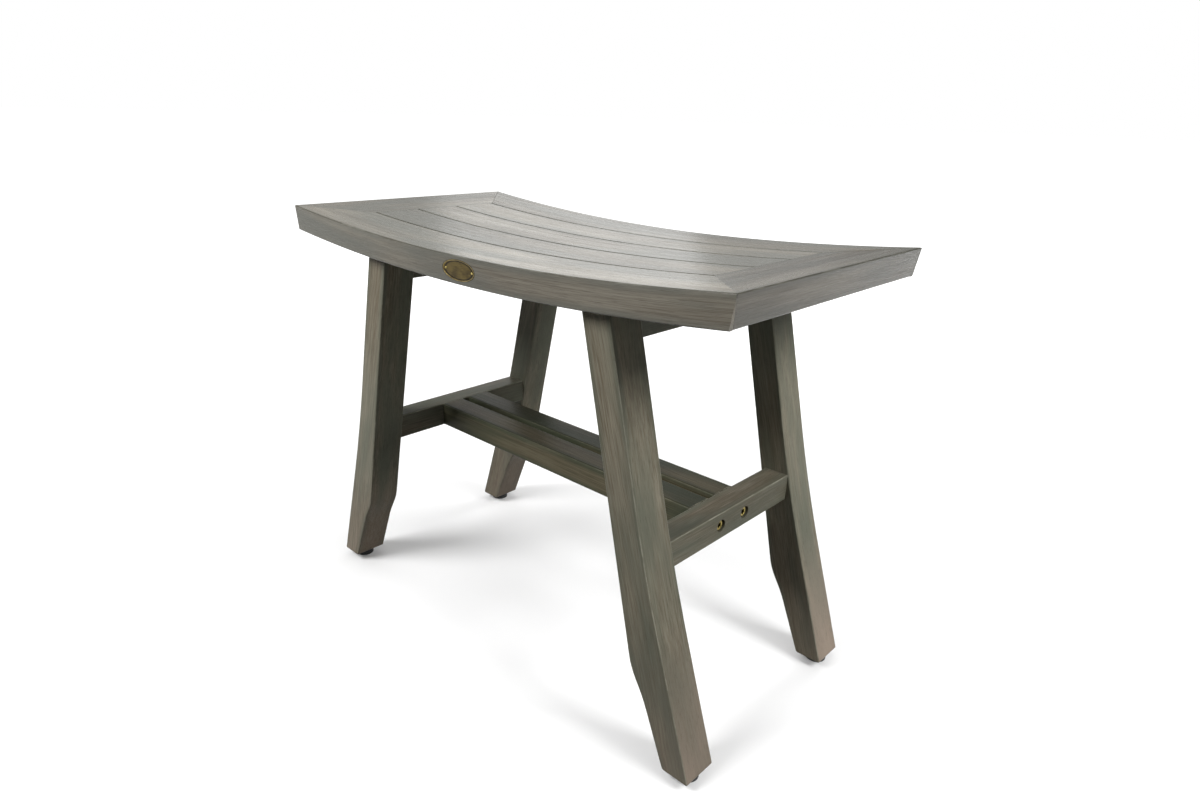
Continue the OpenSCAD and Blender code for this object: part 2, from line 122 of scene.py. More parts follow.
class Tree:
    """A node tree that is being built."""

    def __init__(self, tree):
        self.tree = tree
        tree.nodes.clear()

    def feed(self, socket, value):
        """Wires an output into a socket, or fills the socket with a plain value."""
        if isinstance(value, bpy.types.NodeSocket):
            self.tree.links.new(value, socket)
        else:
            socket.default_value = value

    def add(self, kind, feeds=None, **settings):
        """Makes a node, and returns it."""
        node = self.tree.nodes.new(kind)
        for name, value in settings.items():
            setattr(node, name, value)
        for name, value in (feeds or {}).items():
            self.feed(node.inputs[name], value)
        return node

    def math(self, operation, *values):
        """One sum on numbers."""
        node = self.add("ShaderNodeMath", operation=operation)
        for socket, value in zip(node.inputs, values):
            self.feed(socket, value)
        return node.outputs[0]

    def times(self, first, second):
        """The product of two numbers."""
        return self.math("MULTIPLY", first, second)

    def plus(self, first, second):
        """The sum of two numbers."""
        return self.math("ADD", first, second)

    def minus(self, first, second):
        """The first number less the second."""
        return self.math("SUBTRACT", first, second)

    def over(self, first, second):
        """The first number divided by the second."""
        return self.math("DIVIDE", first, second)

    def vector(self, operation, *values):
        """One sum on vectors."""
        node = self.add("ShaderNodeVectorMath", operation=operation)
        for socket, value in zip(node.inputs, values):
            self.feed(socket, value)
        return node.outputs[0]

    def join(self, x, y, z):
        """A vector from three numbers."""
        return self.add("ShaderNodeCombineXYZ", {"X": x, "Y": y, "Z": z}).outputs[0]

    def split(self, vector):
        """The three numbers of a vector."""
        return self.add("ShaderNodeSeparateXYZ", {"Vector": vector}).outputs[:]

    def ramp(self, value, low, high, start=0.0, end=1.0):
        """Carries value smoothly from start to end while it goes from low to high."""
        node = self.add("ShaderNodeMapRange", interpolation_type="SMOOTHSTEP")
        for name, number in zip(
            ("Value", "From Min", "From Max", "To Min", "To Max"), (value, low, high, start, end)
        ):
            self.feed(node.inputs[name], number)
        return node.outputs["Result"]

    def mix(self, factor, first, second):
        """A number between two others, the second by factor."""
        node = self.add("ShaderNodeMix", {"Factor": factor, "A": first, "B": second})
        return node.outputs["Result"]

    def attribute(self, name, socket="Vector"):
        """An attribute that the mesh carries: a vector, or a number from the socket Fac."""
        return self.add("ShaderNodeAttribute", attribute_name=name).outputs[socket]


def new_finish(name):
    """A new material and its tree."""
    material = bpy.data.materials.new(name)
    material.use_nodes = True
    return material, Tree(material.node_tree)


made(Tree, new_finish)

# %% [markdown]
# ## Floor and light
# The bench stands on a pale floor in a soft studio. A wide dome of light comes from above and
# fades towards the horizon, so the faces under the seat stay dark, as they do in a real room.
# Eight soft boxes stand round the bench and over it: strong ones lift its front and its right
# side, and weaker ones reach its top, its back and the sides of its legs. The camera sees none of
# them, and two are left out of reflections too, because their gleam would veil the wood. The
# white background is only for the rays that show it, those of the camera, of reflections and of
# glass: there the floor is paler and adds a little light of its own, which whitens it and keeps
# the bench's shadow.

# %% Light the room with a dome
DOME_TOP = 0.24
DOME_RIM = 0.03
DOME_RIM_HEIGHT = 0.18
DOME_FULL_HEIGHT = 0.80
HORIZON_SHEEN = 0.48
ROOM_SHEEN = 0.06
SHEEN_LOW = 0.08
SHEEN_HIGH = 0.30
OVERHEAD_LOW = 0.60
OVERHEAD_HIGH = 0.95


def shown(tree):
    """Two numbers: 1 for the camera's rays, and 1 for every ray that shows the backdrop, which
    are those of the camera, of mirrors and of glass."""
    rays = tree.add("ShaderNodeLightPath").outputs
    mirrored = tree.math("MAXIMUM", rays["Is Glossy Ray"], rays["Is Transmission Ray"])
    return rays["Is Camera Ray"], tree.math("MAXIMUM", rays["Is Camera Ray"], mirrored)


world = bpy.data.worlds.new("studio")
world.use_nodes = True
bpy.context.scene.world = world
dome = Tree(world.node_tree)
sky_height = dome.split(dome.add("ShaderNodeTexCoord").outputs["Generated"])[2]
dome_light = dome.ramp(sky_height, DOME_RIM_HEIGHT, DOME_FULL_HEIGHT, DOME_RIM, DOME_TOP)
sheen = dome.ramp(sky_height, SHEEN_LOW, SHEEN_HIGH, HORIZON_SHEEN, ROOM_SHEEN)
sheen = dome.mix(dome.ramp(sky_height, OVERHEAD_LOW, OVERHEAD_HIGH), sheen, 1.0)
seen_direct, seen_at_all = shown(dome)
white = dome.mix(seen_direct, sheen, 1.0)
backdrop = dome.add(
    "ShaderNodeBackground",
    {"Color": (1, 1, 1, 1), "Strength": dome.mix(seen_at_all, dome_light, white)},
)
dome.add("ShaderNodeOutputWorld", {"Surface": backdrop.outputs[0]})
print("dome: a light of", DOME_RIM, "near the horizon and", DOME_TOP, "above")

# %% Hang the soft boxes
BENCH_MIDDLE = Vector((0, 0, 0.25))

# The place of each soft box, its size, its power, and whether reflections show it
SOFT_BOXES = {
    "front_box": ((-0.5, -1.35, 1.55), 0.8, 34, True),
    "side_box": ((2.0, 0.3, 1.9), 1.0, 52, True),
    "low_box": ((-1.75, 1.75, 0.75), 1.0, 3.5, True),
    "back_box": ((-1.9, 1.7, 2.2), 3.0, 18, True),
    "far_box": ((0.1, 2.2, 0.7), 1.0, 25, False),
    "left_box": ((-2.2, -0.3, 0.7), 1.0, 7, True),
    "right_box": ((2.2, -0.3, 0.5), 1.0, 5, False),
    "top_box": ((0.0, 0.1, 2.6), 1.0, 13, True),
}

for name, (place, size, power, mirrored) in SOFT_BOXES.items():
    lamp = put(name, bpy.data.lights.new(name, "AREA"))
    lamp.data.size = size
    lamp.data.energy = power
    lamp.location = place
    lamp.rotation_mode = "QUATERNION"
    lamp.rotation_quaternion = (BENCH_MIDDLE - Vector(place)).to_track_quat("-Z", "Y")
    lamp.visible_camera = False
    lamp.visible_glossy = mirrored
print("soft boxes:", ", ".join(SOFT_BOXES))

# %% Lay the floor
FLOOR_TONE = 0.85
FLOOR_BOUNCE = 0.065
FLOOR_GLOW = (0.05, 1.0)
GLOW_NEAR = 0.6
GLOW_FAR = 3.0
FLOOR_HALF = 40.0

floor_finish, sheet = new_finish("pale_floor")
floor_seen = shown(sheet)[1]
floor_tone = sheet.mix(floor_seen, FLOOR_BOUNCE, FLOOR_TONE)
spot = sheet.add("ShaderNodeTexCoord").outputs["Object"]
away = sheet.vector("LENGTH", spot).node.outputs["Value"]
glow = sheet.times(floor_seen, sheet.ramp(away, GLOW_NEAR, GLOW_FAR, *FLOOR_GLOW))
lit = sheet.add("ShaderNodeEmission", {"Strength": glow})
matt = sheet.add("ShaderNodeBsdfDiffuse", {"Color": floor_tone})
both = sheet.add("ShaderNodeAddShader")
sheet.feed(both.inputs[0], matt.outputs[0])
sheet.feed(both.inputs[1], lit.outputs[0])
sheet.add("ShaderNodeOutputMaterial", {"Surface": both.outputs[0]})

floor_mesh = bpy.data.meshes.new("floor")
floor_mesh.from_pydata(
    [(x * FLOOR_HALF, y * FLOOR_HALF, 0) for x, y in ((-1, -1), (1, -1), (1, 1), (-1, 1))],
    [], [(0, 1, 2, 3)],
)
floor = put("floor", floor_mesh)
floor.data.materials.append(floor_finish)
print("floor:", 2 * FLOOR_HALF, "m wide")

# %% [markdown]
# ## Measure the frame
# A box round each node gives most sizes. Where several dowels or bolts share one node, the
# node is taken apart into its loose solids, and each gets a box of its own. The legs curve, so
# they are measured in level slices from foot to seat.

# %% Boxes, loose solids and slices


def solids_of(node):
    """The (lowest, highest) corner of each loose solid of a CAD node."""
    work = bmesh.new()
    work.from_mesh(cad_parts[node].data)
    bmesh.ops.remove_doubles(work, verts=work.verts, dist=WELD)
    left = set(work.verts)
    boxes = []
    while left:
        reached = [left.pop()]
        corners = []
        while reached:
            vert = reached.pop()
            corners.append(vert.co[:])
            for edge in vert.link_edges:
                other = edge.other_vert(vert)
                if other in left:
                    left.remove(other)
                    reached.append(other)
        corners = np.array(corners)
        boxes.append((Vector(corners.min(0)), Vector(corners.max(0))))
    work.free()
    return sorted(boxes, key=lambda box: box[0][:])


def middle_of(box):
    """The point in the middle of a box."""
    return (box[0] + box[1]) / 2


def slice_x(node, height):
    """Lowest and highest x where a level plane cuts a CAD node."""
    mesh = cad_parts[node].data
    corners = np.array([vert.co for vert in mesh.vertices])
    ends = corners[np.array([edge.vertices[:] for edge in mesh.edges])]
    low, high = ends[:, 0], ends[:, 1]
    crossing = (low[:, 2] - height) * (high[:, 2] - height) < 0
    low, high = low[crossing], high[crossing]
    share = (height - low[:, 2]) / (high[:, 2] - low[:, 2])
    x = low[:, 0] + share * (high[:, 0] - low[:, 0])
    return x.min(), x.max()


for fastener in ("shelf_bolts", "seat_bolts"):
    print(fastener, "has", len(solids_of(fastener)), "loose solids")

# %% The seat's sizes
BOARD_THICKNESS = 27 * MM
END_UNDERCUT = math.radians(10)

rail_low, rail_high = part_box("seat_front_rail")
end_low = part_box("seat_end_rail_right")[0]
slat_low, slat_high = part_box("seat_slat_middle")
seat_front = rail_low.y
rail_width = rail_high.y - rail_low.y
slat_half = end_low.x
seat_half = slat_half + rail_width
middle_top = rail_low.z + BOARD_THICKNESS
slat_rise = slat_high.z - middle_top
arc_radius = (slat_half ** 2 + slat_rise ** 2) / (2 * slat_rise)
arc_height = middle_top + arc_radius


def seat_top(x):
    """Height of the seat's top at a distance x from the middle."""
    return arc_height - math.sqrt(arc_radius ** 2 - x ** 2)


def seat_under(x):
    """Height of the seat's underside at a distance x from the middle."""
    return arc_height - math.sqrt((arc_radius + BOARD_THICKNESS) ** 2 - x ** 2)


print(f"seat: {2 * seat_half:.4f} m long, bent to a radius of {arc_radius:.3f} m")

# %% [markdown]
# ## The grey-washed teak
# The real wood is brown teak under a thin grey wash. The wash lies thicker beside the edges,
# where the cloth left it, the corners are stained and worn, and the grain shows as fine streaks
# along each board. A painted shade darkens what faces up, and water has bared the feet, whose
# sides also carry a painted light. A picture of wood can't follow bent boards and end grain, so
# the finish is solid: every board carries its own grain coordinates (along, across and through
# the board), and the streaks are noise that is stretched along them. Each board also says how big
# it is and where on its section a point lies, so the finish knows how far it is from an edge.
# Last, each board has a number. It shifts the noise, so no two boards are alike, and its part
# after the point says how pale the board is.

# %% Colours, noise and relief


def colour(red, green, blue):
    """A colour as a screen shows it, turned into the light values that Blender works with."""
    return (*[((c / 255 + 0.055) / 1.055) ** 2.4 for c in (red, green, blue)], 1.0)


def noise(tree, place, scale, detail=3.0, roughness=0.5):
    """Noise of about 0 to 1, with its own scale along each axis of place."""
    node = tree.add("ShaderNodeTexNoise", {
        "Vector": tree.vector("MULTIPLY", place, scale), "Scale": 1.0, "Detail": detail,
        "Roughness": roughness,
    })
    return node.outputs["Fac"]


# A mixing node has sockets for each kind of value, and these are the ones for colours
MIX_FACTOR = 0
MIX_FIRST = 6
MIX_SECOND = 7
MIX_RESULT = 2


def blend(tree, factor, first, second):
    """Two colours mixed, the second by factor."""
    node = tree.add("ShaderNodeMix", data_type="RGBA")
    for socket, value in ((MIX_FACTOR, factor), (MIX_FIRST, first), (MIX_SECOND, second)):
        tree.feed(node.inputs[socket], value)
    return node.outputs[MIX_RESULT]


def darker(tint, share):
    """A colour with only a share of its light."""
    return (*[share * part for part in tint[:3]], 1.0)


def finish_surface(tree, tint, roughness, height, depth, strength=0.5, **constants):
    """Ends a finish: its tint, roughness and relief, and the values that stay the same."""
    bump = tree.add("ShaderNodeBump", {"Strength": strength, "Distance": depth, "Height": height})
    surface = tree.add(
        "ShaderNodeBsdfPrincipled",
        {"Base Color": tint, "Roughness": roughness, "Normal": bump.outputs[0], **constants},
    )
    tree.add("ShaderNodeOutputMaterial", {"Surface": surface.outputs[0]})


made(colour, noise, blend, darker, finish_surface)

# %% The teak


def edge_distances(tree):
    """Distances of a point on a board from the nearest edge and from the nearest long edge.

    The point lies on one face, so one of its three margins is 0. The middle one of them is the
    distance from the nearest edge."""
    section = tree.attribute("section")
    half = tree.attribute("half")
    inside = tree.vector("SUBTRACT", (1, 1, 1), tree.vector("ABSOLUTE", section))
    x, y, z = tree.split(tree.vector("MULTIPLY", inside, half))
    least = tree.math("MINIMUM", x, y)
    most = tree.math("MAXIMUM", x, y)
    nearest = tree.math("MAXIMUM", least, tree.math("MINIMUM", most, z))
    return nearest, tree.math("MAXIMUM", y, z)


# How dark and how pale a board can be, how far from an edge its wash and its wear reach, and how
# deep its grain is and how much of that depth shows
SHADES = (0.70, 1.30)
WASH_BAND = (1.0 * MM, 9 * MM)
CORNER_WEAR = (0.4 * MM, 1.3 * MM)
TEAK_RELIEF = 0.2 * MM
TEAK_RELIEF_SHARE = 0.45


def teak(name, pale, brown, green, stain, worn, bare, run, rough, bend, painted_top_shade):
    """Grey-washed teak, from the colours of its wash, its wood, its edges, its corners where
    they are stained and where they are worn, and its bare feet, whose sides also carry a painted
    light, how far its streaks run, how rough its lacquer is, how it bends light and how much
    painted shade darkens what faces up."""
    material, tree = new_finish(name)
    grain = tree.attribute("grain")
    number = tree.attribute("board", "Fac")
    shift = tree.vector("MULTIPLY", (7.1, 3.3, 5.7), tree.join(number, number, number))
    place = tree.vector("ADD", grain, shift)

    # How thick the wash lies: broad clouds, then streaks that get finer
    cloud = noise(tree, place, (4, 16, 16), 3)
    streak = noise(tree, place, (15 / run, 560, 560), 4, 0.62)
    line = noise(tree, place, (42 / run, 1700, 1700), 3, 0.6)
    tone = tree.times(cloud, 0.40)
    tone = tree.math("MULTIPLY_ADD", streak, 0.34, tone)
    tone = tree.math("MULTIPLY_ADD", line, 0.34, tone)
    wood = blend(tree, tree.ramp(tone, 0.40, 0.68), brown, pale)

    # The cold, greenish parts of the wash: here and there, and in a band beside the edges
    edge, long_edge = edge_distances(tree)
    cold = tree.ramp(noise(tree, place, (4, 20, 20), 3), 0.40, 0.62, 0.0, 0.8)
    patchy = tree.ramp(noise(tree, place, (10, 40, 40), 3), 0.34, 0.6, 0.3, 0.75)
    band = tree.times(tree.ramp(long_edge, *WASH_BAND, 1, 0), patchy)
    wood = blend(tree, tree.math("MAXIMUM", cold, band), wood, green)

    # The feet stand in water, which has washed them bare: there the pinkish wood shows. On the
    # feet's sides the same pale colour is also a painted light
    foot = tree.attribute("foot", "Fac")
    foot = tree.times(foot, tree.ramp(cloud, 0.3, 0.6, 0.4, 0.75))
    wood = blend(tree, foot, wood, bare)

    # The part of the board's number after the point runs from dark to pale, and a painted shade
    # darkens what faces up
    shade = tree.ramp(tree.math("FRACT", number), 0.0, 1.0, *SHADES)
    # Painted shade: the faces that point up are darkened by this share
    facing_up = tree.split(tree.add("ShaderNodeNewGeometry").outputs["Normal"])[2]
    shade = tree.times(shade, tree.ramp(facing_up, 0.6, 0.95, 1.0, 1.0 - painted_top_shade))
    wood = tree.vector("MULTIPLY", wood, tree.join(shade, shade, shade))

    # Short dark pores, and corners that are stained in places and worn in others
    pore = tree.ramp(noise(tree, place, (55, 2400, 2400), 1), 0.58, 0.72, 0, 0.35)
    wood = blend(tree, pore, wood, darker(brown, 0.35))
    rub = tree.attribute("rub", "Fac")
    rubbed = tree.ramp(noise(tree, place, (40, 200, 200), 4, 0.7), 0.46, 0.62)
    corner = tree.times(tree.ramp(edge, *CORNER_WEAR, 1, 0), rub)
    wood = blend(tree, tree.times(corner, 0.8), wood, blend(tree, rubbed, stain, worn))
    wear = tree.times(corner, rubbed)

    gloss = tree.ramp(streak, 0.35, 0.7, rough + 0.05, rough - 0.04)
    gloss = tree.math("MULTIPLY_ADD", wear, 0.15, gloss)
    depth = tree.minus(tree.times(line, 0.6), pore)
    finish_surface(tree, wood, gloss, depth, TEAK_RELIEF, TEAK_RELIEF_SHARE, IOR=bend)
    return material


made(edge_distances, teak)

# %% Mix the three teaks
# The last number of each teak is the painted shade on the faces that point up
seat_teak = teak(
    "teak_seat", pale=colour(128, 123, 111), brown=colour(79, 72, 61), green=colour(91, 92, 85),
    stain=colour(64, 63, 56), worn=colour(98, 97, 89), bare=colour(128, 112, 98),
    run=2.2, rough=0.27, bend=1.27, painted_top_shade=0.13)
# The leg's bare colour is water-bared wood, and on the feet's sides also a painted light
leg_teak = teak(
    "teak_leg", pale=colour(138, 132, 116), brown=colour(92, 84, 69), green=colour(90, 94, 82),
    stain=colour(120, 118, 105), worn=colour(152, 149, 135), bare=colour(150, 134, 121),
    run=1.0, rough=0.36, bend=1.14, painted_top_shade=0.2)
shelf_teak = teak(
    "teak_shelf", pale=colour(104, 98, 79), brown=colour(66, 59, 44), green=colour(58, 65, 51),
    stain=colour(84, 82, 71), worn=colour(118, 115, 101), bare=colour(110, 96, 84),
    run=1.4, rough=0.38, bend=1.16, painted_top_shade=0.5)
print("finishes:", seat_teak.name, leg_teak.name, shelf_teak.name)

# %% Number the boards
# The number of each board. Copies that one tree makes, such as the slats, are numbered on from
# the first one by a step
BOARD_STEP = 2.05
BOARD_NUMBERS = {
    "seat_slat_front": 1.45, "seat_front_rail": 11.62, "seat_back_rail": 14.50,
    "seat_end_rail_left": 17.45, "seat_end_rail_right": 20.12,
    "leg_front_left": 31.95, "leg_front_right": 33.50,
    "leg_back_left": 36.50, "leg_back_right": 39.72,
    "top_rail_left": 43.44, "stretcher_left": 50.44,
    "top_rail_right": 46.48, "stretcher_right": 53.48,
    "shelf_board_front": 61.50, "shelf_board_back": 64.56,
}
print("numbered boards:", len(BOARD_NUMBERS))

# %% [markdown]
# ## Brass, steel, nylon and dowel wood
# The bolts are plain brass, turned on a lathe: fine rings run round them, handling has left dull
# smudges, and their sockets are darkened below the mouth. The badge is brass that has been
# browned and brushed along its length, its rim has been rubbed bright, a painted shadow of its
# recess runs round its edge, and its field is darker just inside the rim. The levelling screws
# are zinc-plated steel. The glides are black nylon with the fine grain of their mould, dusty
# where they meet the floor. Each finish is a few layers of noise in the object's own
# coordinates. Darkening, dust and wear need to know where they are, so the pieces carry that
# too: spot is the place on a bolt, a screw or a glide, and raised and inset say how high and how
# far in a point of the badge lies.

# %% The metals
# How deep the rings of turned metal and the brushed lines of the badge are
TURNED_RELIEF = 0.03 * MM
BRUSHED_RELIEF = 0.04 * MM

# Darkening in a bolt's socket: where it begins at the mouth, ends past the floor and thins
# outwards
SOCKET_DARK_MOUTH = (-5.9 * MM, -5.2 * MM)
SOCKET_DARK_FLOOR = (-2.9 * MM, -2.4 * MM)
SOCKET_DARK_REACH = (3.0 * MM, 3.4 * MM)

# Darkening on the badge, by the distance in from its edge: outside the rim a painted shadow of
# the recess, and inside the rim a darker band
PAINTED_RECESS_SHADOW = (0.15 * MM, 0.45 * MM)
DARK_INSIDE_RIM = (1.0 * MM, 1.4 * MM)
DARK_INSIDE_RIM_END = (1.6 * MM, 2.6 * MM)


def turned_metal(name, bright, dull, rough):
    """Metal off the lathe: rings round its own axis, smudges, and a darker bolt socket."""
    material, tree = new_finish(name)
    place = tree.add("ShaderNodeTexCoord").outputs["Object"]
    x, y, z = tree.split(tree.attribute("spot"))
    out = tree.vector("LENGTH", tree.join(x, y, 0.0)).node.outputs["Value"]
    rings = noise(tree, tree.join(out, 0.0, z), (7000, 1, 7000), 2)
    smudge = noise(tree, place, (220, 220, 220), 4, 0.6)
    tint = blend(tree, tree.ramp(smudge, 0.40, 0.64), dull, bright)
    tint = blend(tree, tree.ramp(rings, 0.5, 0.75, 0.0, 0.35), tint, dull)
    # The socket is darkened below its mouth, less so outwards
    sunk = tree.times(tree.ramp(z, *SOCKET_DARK_MOUTH), tree.ramp(z, *SOCKET_DARK_FLOOR, 1, 0))
    dark_in_hollows = tree.times(sunk, tree.ramp(out, *SOCKET_DARK_REACH, 0.85, 0.0))
    tint = blend(tree, dark_in_hollows, tint, darker(dull, 0.1))
    roughness = tree.ramp(smudge, 0.35, 0.65, rough + 0.10, rough - 0.06)
    finish_surface(tree, tint, roughness, rings, TURNED_RELIEF, Metallic=1.0)
    return material


def browned_brass(name, gold, brown, rubbed, dark_in_hollows):
    """The badge: brushed lines along it, browned in the field, rubbed bright on the rim, with a
    painted shadow of its recess round its edge and a darker band inside the rim."""
    material, tree = new_finish(name)
    place = tree.add("ShaderNodeTexCoord").outputs["Object"]
    lines = noise(tree, place, (90, 900, 3200), 3, 0.6)
    cloud = noise(tree, place, (60, 60, 90), 3)
    speck = tree.ramp(noise(tree, place, (1500, 1500, 1500), 2), 0.62, 0.72, 0.0, 0.4)
    tone = tree.math("MULTIPLY_ADD", lines, 0.4, tree.times(cloud, 0.6))
    tint = blend(tree, tree.ramp(tone, 0.38, 0.62), brown, gold)
    tint = blend(tree, speck, tint, brown)
    raised = tree.ramp(tree.attribute("raised", "Fac"), 0.45, 0.95)
    worn = tree.times(raised, tree.ramp(cloud, 0.36, 0.6, 0.35, 0.95))
    tint = blend(tree, worn, tint, rubbed)
    inset = tree.attribute("inset", "Fac")
    # Painted shadow of the recess: a dark band round the badge's edge
    outside = tree.ramp(inset, *PAINTED_RECESS_SHADOW, 1.0, 0.0)
    # A darker band in the field just inside the rim
    inside = tree.times(tree.ramp(inset, *DARK_INSIDE_RIM), tree.ramp(inset, *DARK_INSIDE_RIM_END, 1, 0))
    tint = blend(tree, tree.math("MAXIMUM", outside, inside), tint, dark_in_hollows)
    roughness = tree.ramp(tone, 0.42, 0.68, 0.46, 0.32)
    finish_surface(tree, tint, roughness, lines, BRUSHED_RELIEF, Metallic=1.0)
    return material


bolt_brass = turned_metal("brass", colour(172, 156, 92), colour(122, 108, 56), 0.32)
zinc_steel = turned_metal("steel", colour(196, 198, 200), colour(150, 152, 154), 0.34)
# The badge's last colour is for the painted shadow at its edge and the darker band inside its rim
badge_brass = browned_brass(
    "badge_brass", colour(92, 79, 44), colour(56, 47, 28), colour(146, 130, 88),
    colour(26, 23, 15))
print("finishes:", bolt_brass.name, zinc_steel.name, badge_brass.name)

# %% Nylon and dowel wood
DUST_HEIGHT = 1.6 * MM
MOULD_RELIEF = 0.06 * MM
STREAK_RELIEF = 0.08 * MM


def moulded_nylon(name, black, dust):
    """Black nylon with a fine mould grain, dusty at the floor."""
    material, tree = new_finish(name)
    place = tree.add("ShaderNodeTexCoord").outputs["Object"]
    grain = noise(tree, place, (2600, 2600, 2600), 2)
    cloud = noise(tree, place, (300, 300, 300), 4, 0.6)
    low = tree.ramp(tree.split(tree.attribute("spot"))[2], 0.0, DUST_HEIGHT, 1.0, 0.0)
    dusty = tree.times(low, tree.ramp(cloud, 0.4, 0.6, 0.2, 0.8))
    tint = blend(tree, tree.ramp(cloud, 0.3, 0.7, 0.0, 0.25), black, dust)
    tint = blend(tree, dusty, tint, dust)
    roughness = tree.ramp(cloud, 0.35, 0.65, 0.38, 0.56)
    finish_surface(tree, tint, roughness, grain, MOULD_RELIEF, IOR=1.5)
    return material


def bare_wood(name, pale, dark):
    """Unwashed dowel wood, with its grain along the dowel."""
    material, tree = new_finish(name)
    number = tree.attribute("board", "Fac")
    place = tree.vector("ADD", tree.attribute("grain"), tree.join(number, number, 0.0))
    streak = noise(tree, place, (25, 500, 500), 4, 0.6)
    fleck = tree.ramp(noise(tree, place, (300, 2200, 2200), 1), 0.6, 0.7, 0.0, 0.6)
    tint = blend(tree, tree.ramp(streak, 0.35, 0.65), dark, pale)
    tint = blend(tree, fleck, tint, dark)
    roughness = tree.ramp(streak, 0.3, 0.7, 0.68, 0.56)
    finish_surface(tree, tint, roughness, streak, STREAK_RELIEF, IOR=1.45)
    return material


black_nylon = moulded_nylon("black_pad", colour(17, 17, 18), colour(58, 56, 52))
dowel_beech = bare_wood("dowel_wood", colour(206, 172, 128), colour(158, 120, 80))
print("finishes:", black_nylon.name, dowel_beech.name)

# %% [markdown]
# ## Making a wooden piece
# A board starts as a sharp-edged solid, as it comes from the saw. Four steps finish it: its
# edges are rounded by the radius that each one has, holes are bored, the rims of the holes are
# broken a little, and the normals are weighted so that flat faces stay flat and the rounded
# edges catch the light. The steps are modifiers, and they are baked into a plain mesh at once.

# %% Saw a solid and round its edges
ROUND_STEPS = 4


def object_of(name, work):
    """Turns a bmesh into an object."""
    mesh = bpy.data.meshes.new(name)
    work.to_mesh(mesh)
    work.free()
    return put(name, mesh)


def loft(name, rings, corner_radii, start_radii, end_radii):
    """A closed solid through rings of corners, with a radius for each long edge and end edge."""
    work = bmesh.new()
    weight = work.edges.layers.float.new("bevel_weight_edge")
    rows = [[work.verts.new(corner) for corner in ring] for ring in rings]
    count = len(rings[0])
    largest = max(*corner_radii, *start_radii, *end_radii) or MM
    for low, high in zip(rows, rows[1:]):
        for i in range(count):
            j = (i + 1) % count
            work.faces.new((low[i], low[j], high[j], high[i]))
            work.edges.get((low[i], high[i]))[weight] = corner_radii[i] / largest
    work.faces.new(rows[0][::-1])
    work.faces.new(rows[-1])
    for row, radii in ((rows[0], start_radii), (rows[-1], end_radii)):
        for i in range(count):
            work.edges.get((row[i], row[(i + 1) % count]))[weight] = radii[i] / largest
    bmesh.ops.recalc_face_normals(work, faces=work.faces)
    piece = object_of(name, work)
    round_edges(piece, largest)
    return piece


def round_edges(piece, largest):
    """Rounds the edges by their own weights, of which a weight of 1 stands for largest."""
    modifier = piece.modifiers.new("rounding", "BEVEL")
    modifier.limit_method = "WEIGHT"
    modifier.width = largest
    modifier.segments = ROUND_STEPS
    modifier.use_clamp_overlap = False


made(object_of, loft, round_edges)

# %% Cut and bore
HOLE_SIDES = 48


def cylinder_between(work, start, end, radius):
    """Adds a closed cylinder from start to end to a bmesh."""
    axis = end - start
    turn = axis.to_track_quat("Z", "Y").to_matrix().to_4x4()
    bmesh.ops.create_cone(
        work, cap_ends=True, segments=HOLE_SIDES, radius1=radius, radius2=radius,
        depth=axis.length, matrix=Matrix.Translation((start + end) / 2) @ turn,
    )


def cut(piece, cutter):
    """Cuts the shape of cutter out of piece."""
    modifier = piece.modifiers.new("cut", "BOOLEAN")
    modifier.operation = "DIFFERENCE"
    modifier.solver = "EXACT"
    modifier.object = cutter


def bore(piece, holes):
    """Bores round holes, each given as (start, end, radius), and returns the drill."""
    work = bmesh.new()
    for start, end, radius in holes:
        cylinder_between(work, start, end, radius)
    drill = object_of(piece.name + "_drill", work)
    cut(piece, drill)
    return drill


made(cylinder_between, cut, bore)

# %% Break the rims and bake the piece
RIM_BREAK = 0.35 * MM
RIM_STEPS = 2
HOLE_RIM_ANGLE = math.radians(50)
LARGE_FACE_PULL = 100


def settle(piece, *cutters):
    """Bakes a piece's modifiers into a plain mesh, with flat faces shaded flat and with the rims
    broken where it was cut."""
    if cutters:
        rims = piece.modifiers.new("rims", "BEVEL")
        rims.limit_method = "ANGLE"
        rims.angle_limit = HOLE_RIM_ANGLE
        rims.width = RIM_BREAK
        rims.segments = RIM_STEPS
        rims.use_clamp_overlap = True
    normals = piece.modifiers.new("normals", "WEIGHTED_NORMAL")
    normals.weight = LARGE_FACE_PULL
    for polygon in piece.data.polygons:
        polygon.use_smooth = True
    bpy.context.view_layer.update()
    finished = piece.evaluated_get(bpy.context.evaluated_depsgraph_get())
    baked = bpy.data.meshes.new_from_object(finished)
    piece.modifiers.clear()
    piece.data = baked
    for cutter in cutters:
        bpy.data.objects.remove(cutter)
    return piece


made(settle)

# %% Store the grain, and dress the piece
GRAIN_LAYERS = ("grain", "section", "half", "board", "rub")


def points_of(piece):
    """The piece's points as an array."""
    points = np.zeros(len(piece.data.vertices) * 3)
    piece.data.vertices.foreach_get("co", points)
    return points.reshape(-1, 3)


def write_layer(piece, name, values):
    """Stores an attribute of the piece's points, a number or a vector for each of them."""
    values = np.array(values, np.float32)
    kind, field = ("FLOAT", "value") if values.ndim == 1 else ("FLOAT_VECTOR", "vector")
    layer = piece.data.attributes.new(name, kind, "POINT")
    layer.data.foreach_set(field, values.ravel())


def columns(*values):
    """A vector for each point, from three rows of numbers, of which some may be one number."""
    return np.stack(np.broadcast_arrays(*values), 1)


def write_grain(piece, grain, section, half, number, rub=1.0):
    """Stores the grain coordinates, the place on the section, the half sizes, the board's
    number, and rub, how much its corners are rubbed."""
    each = np.ones(len(grain))
    for name, values in zip(GRAIN_LAYERS, (grain, section, half, number * each, rub * each)):
        write_layer(piece, name, values)


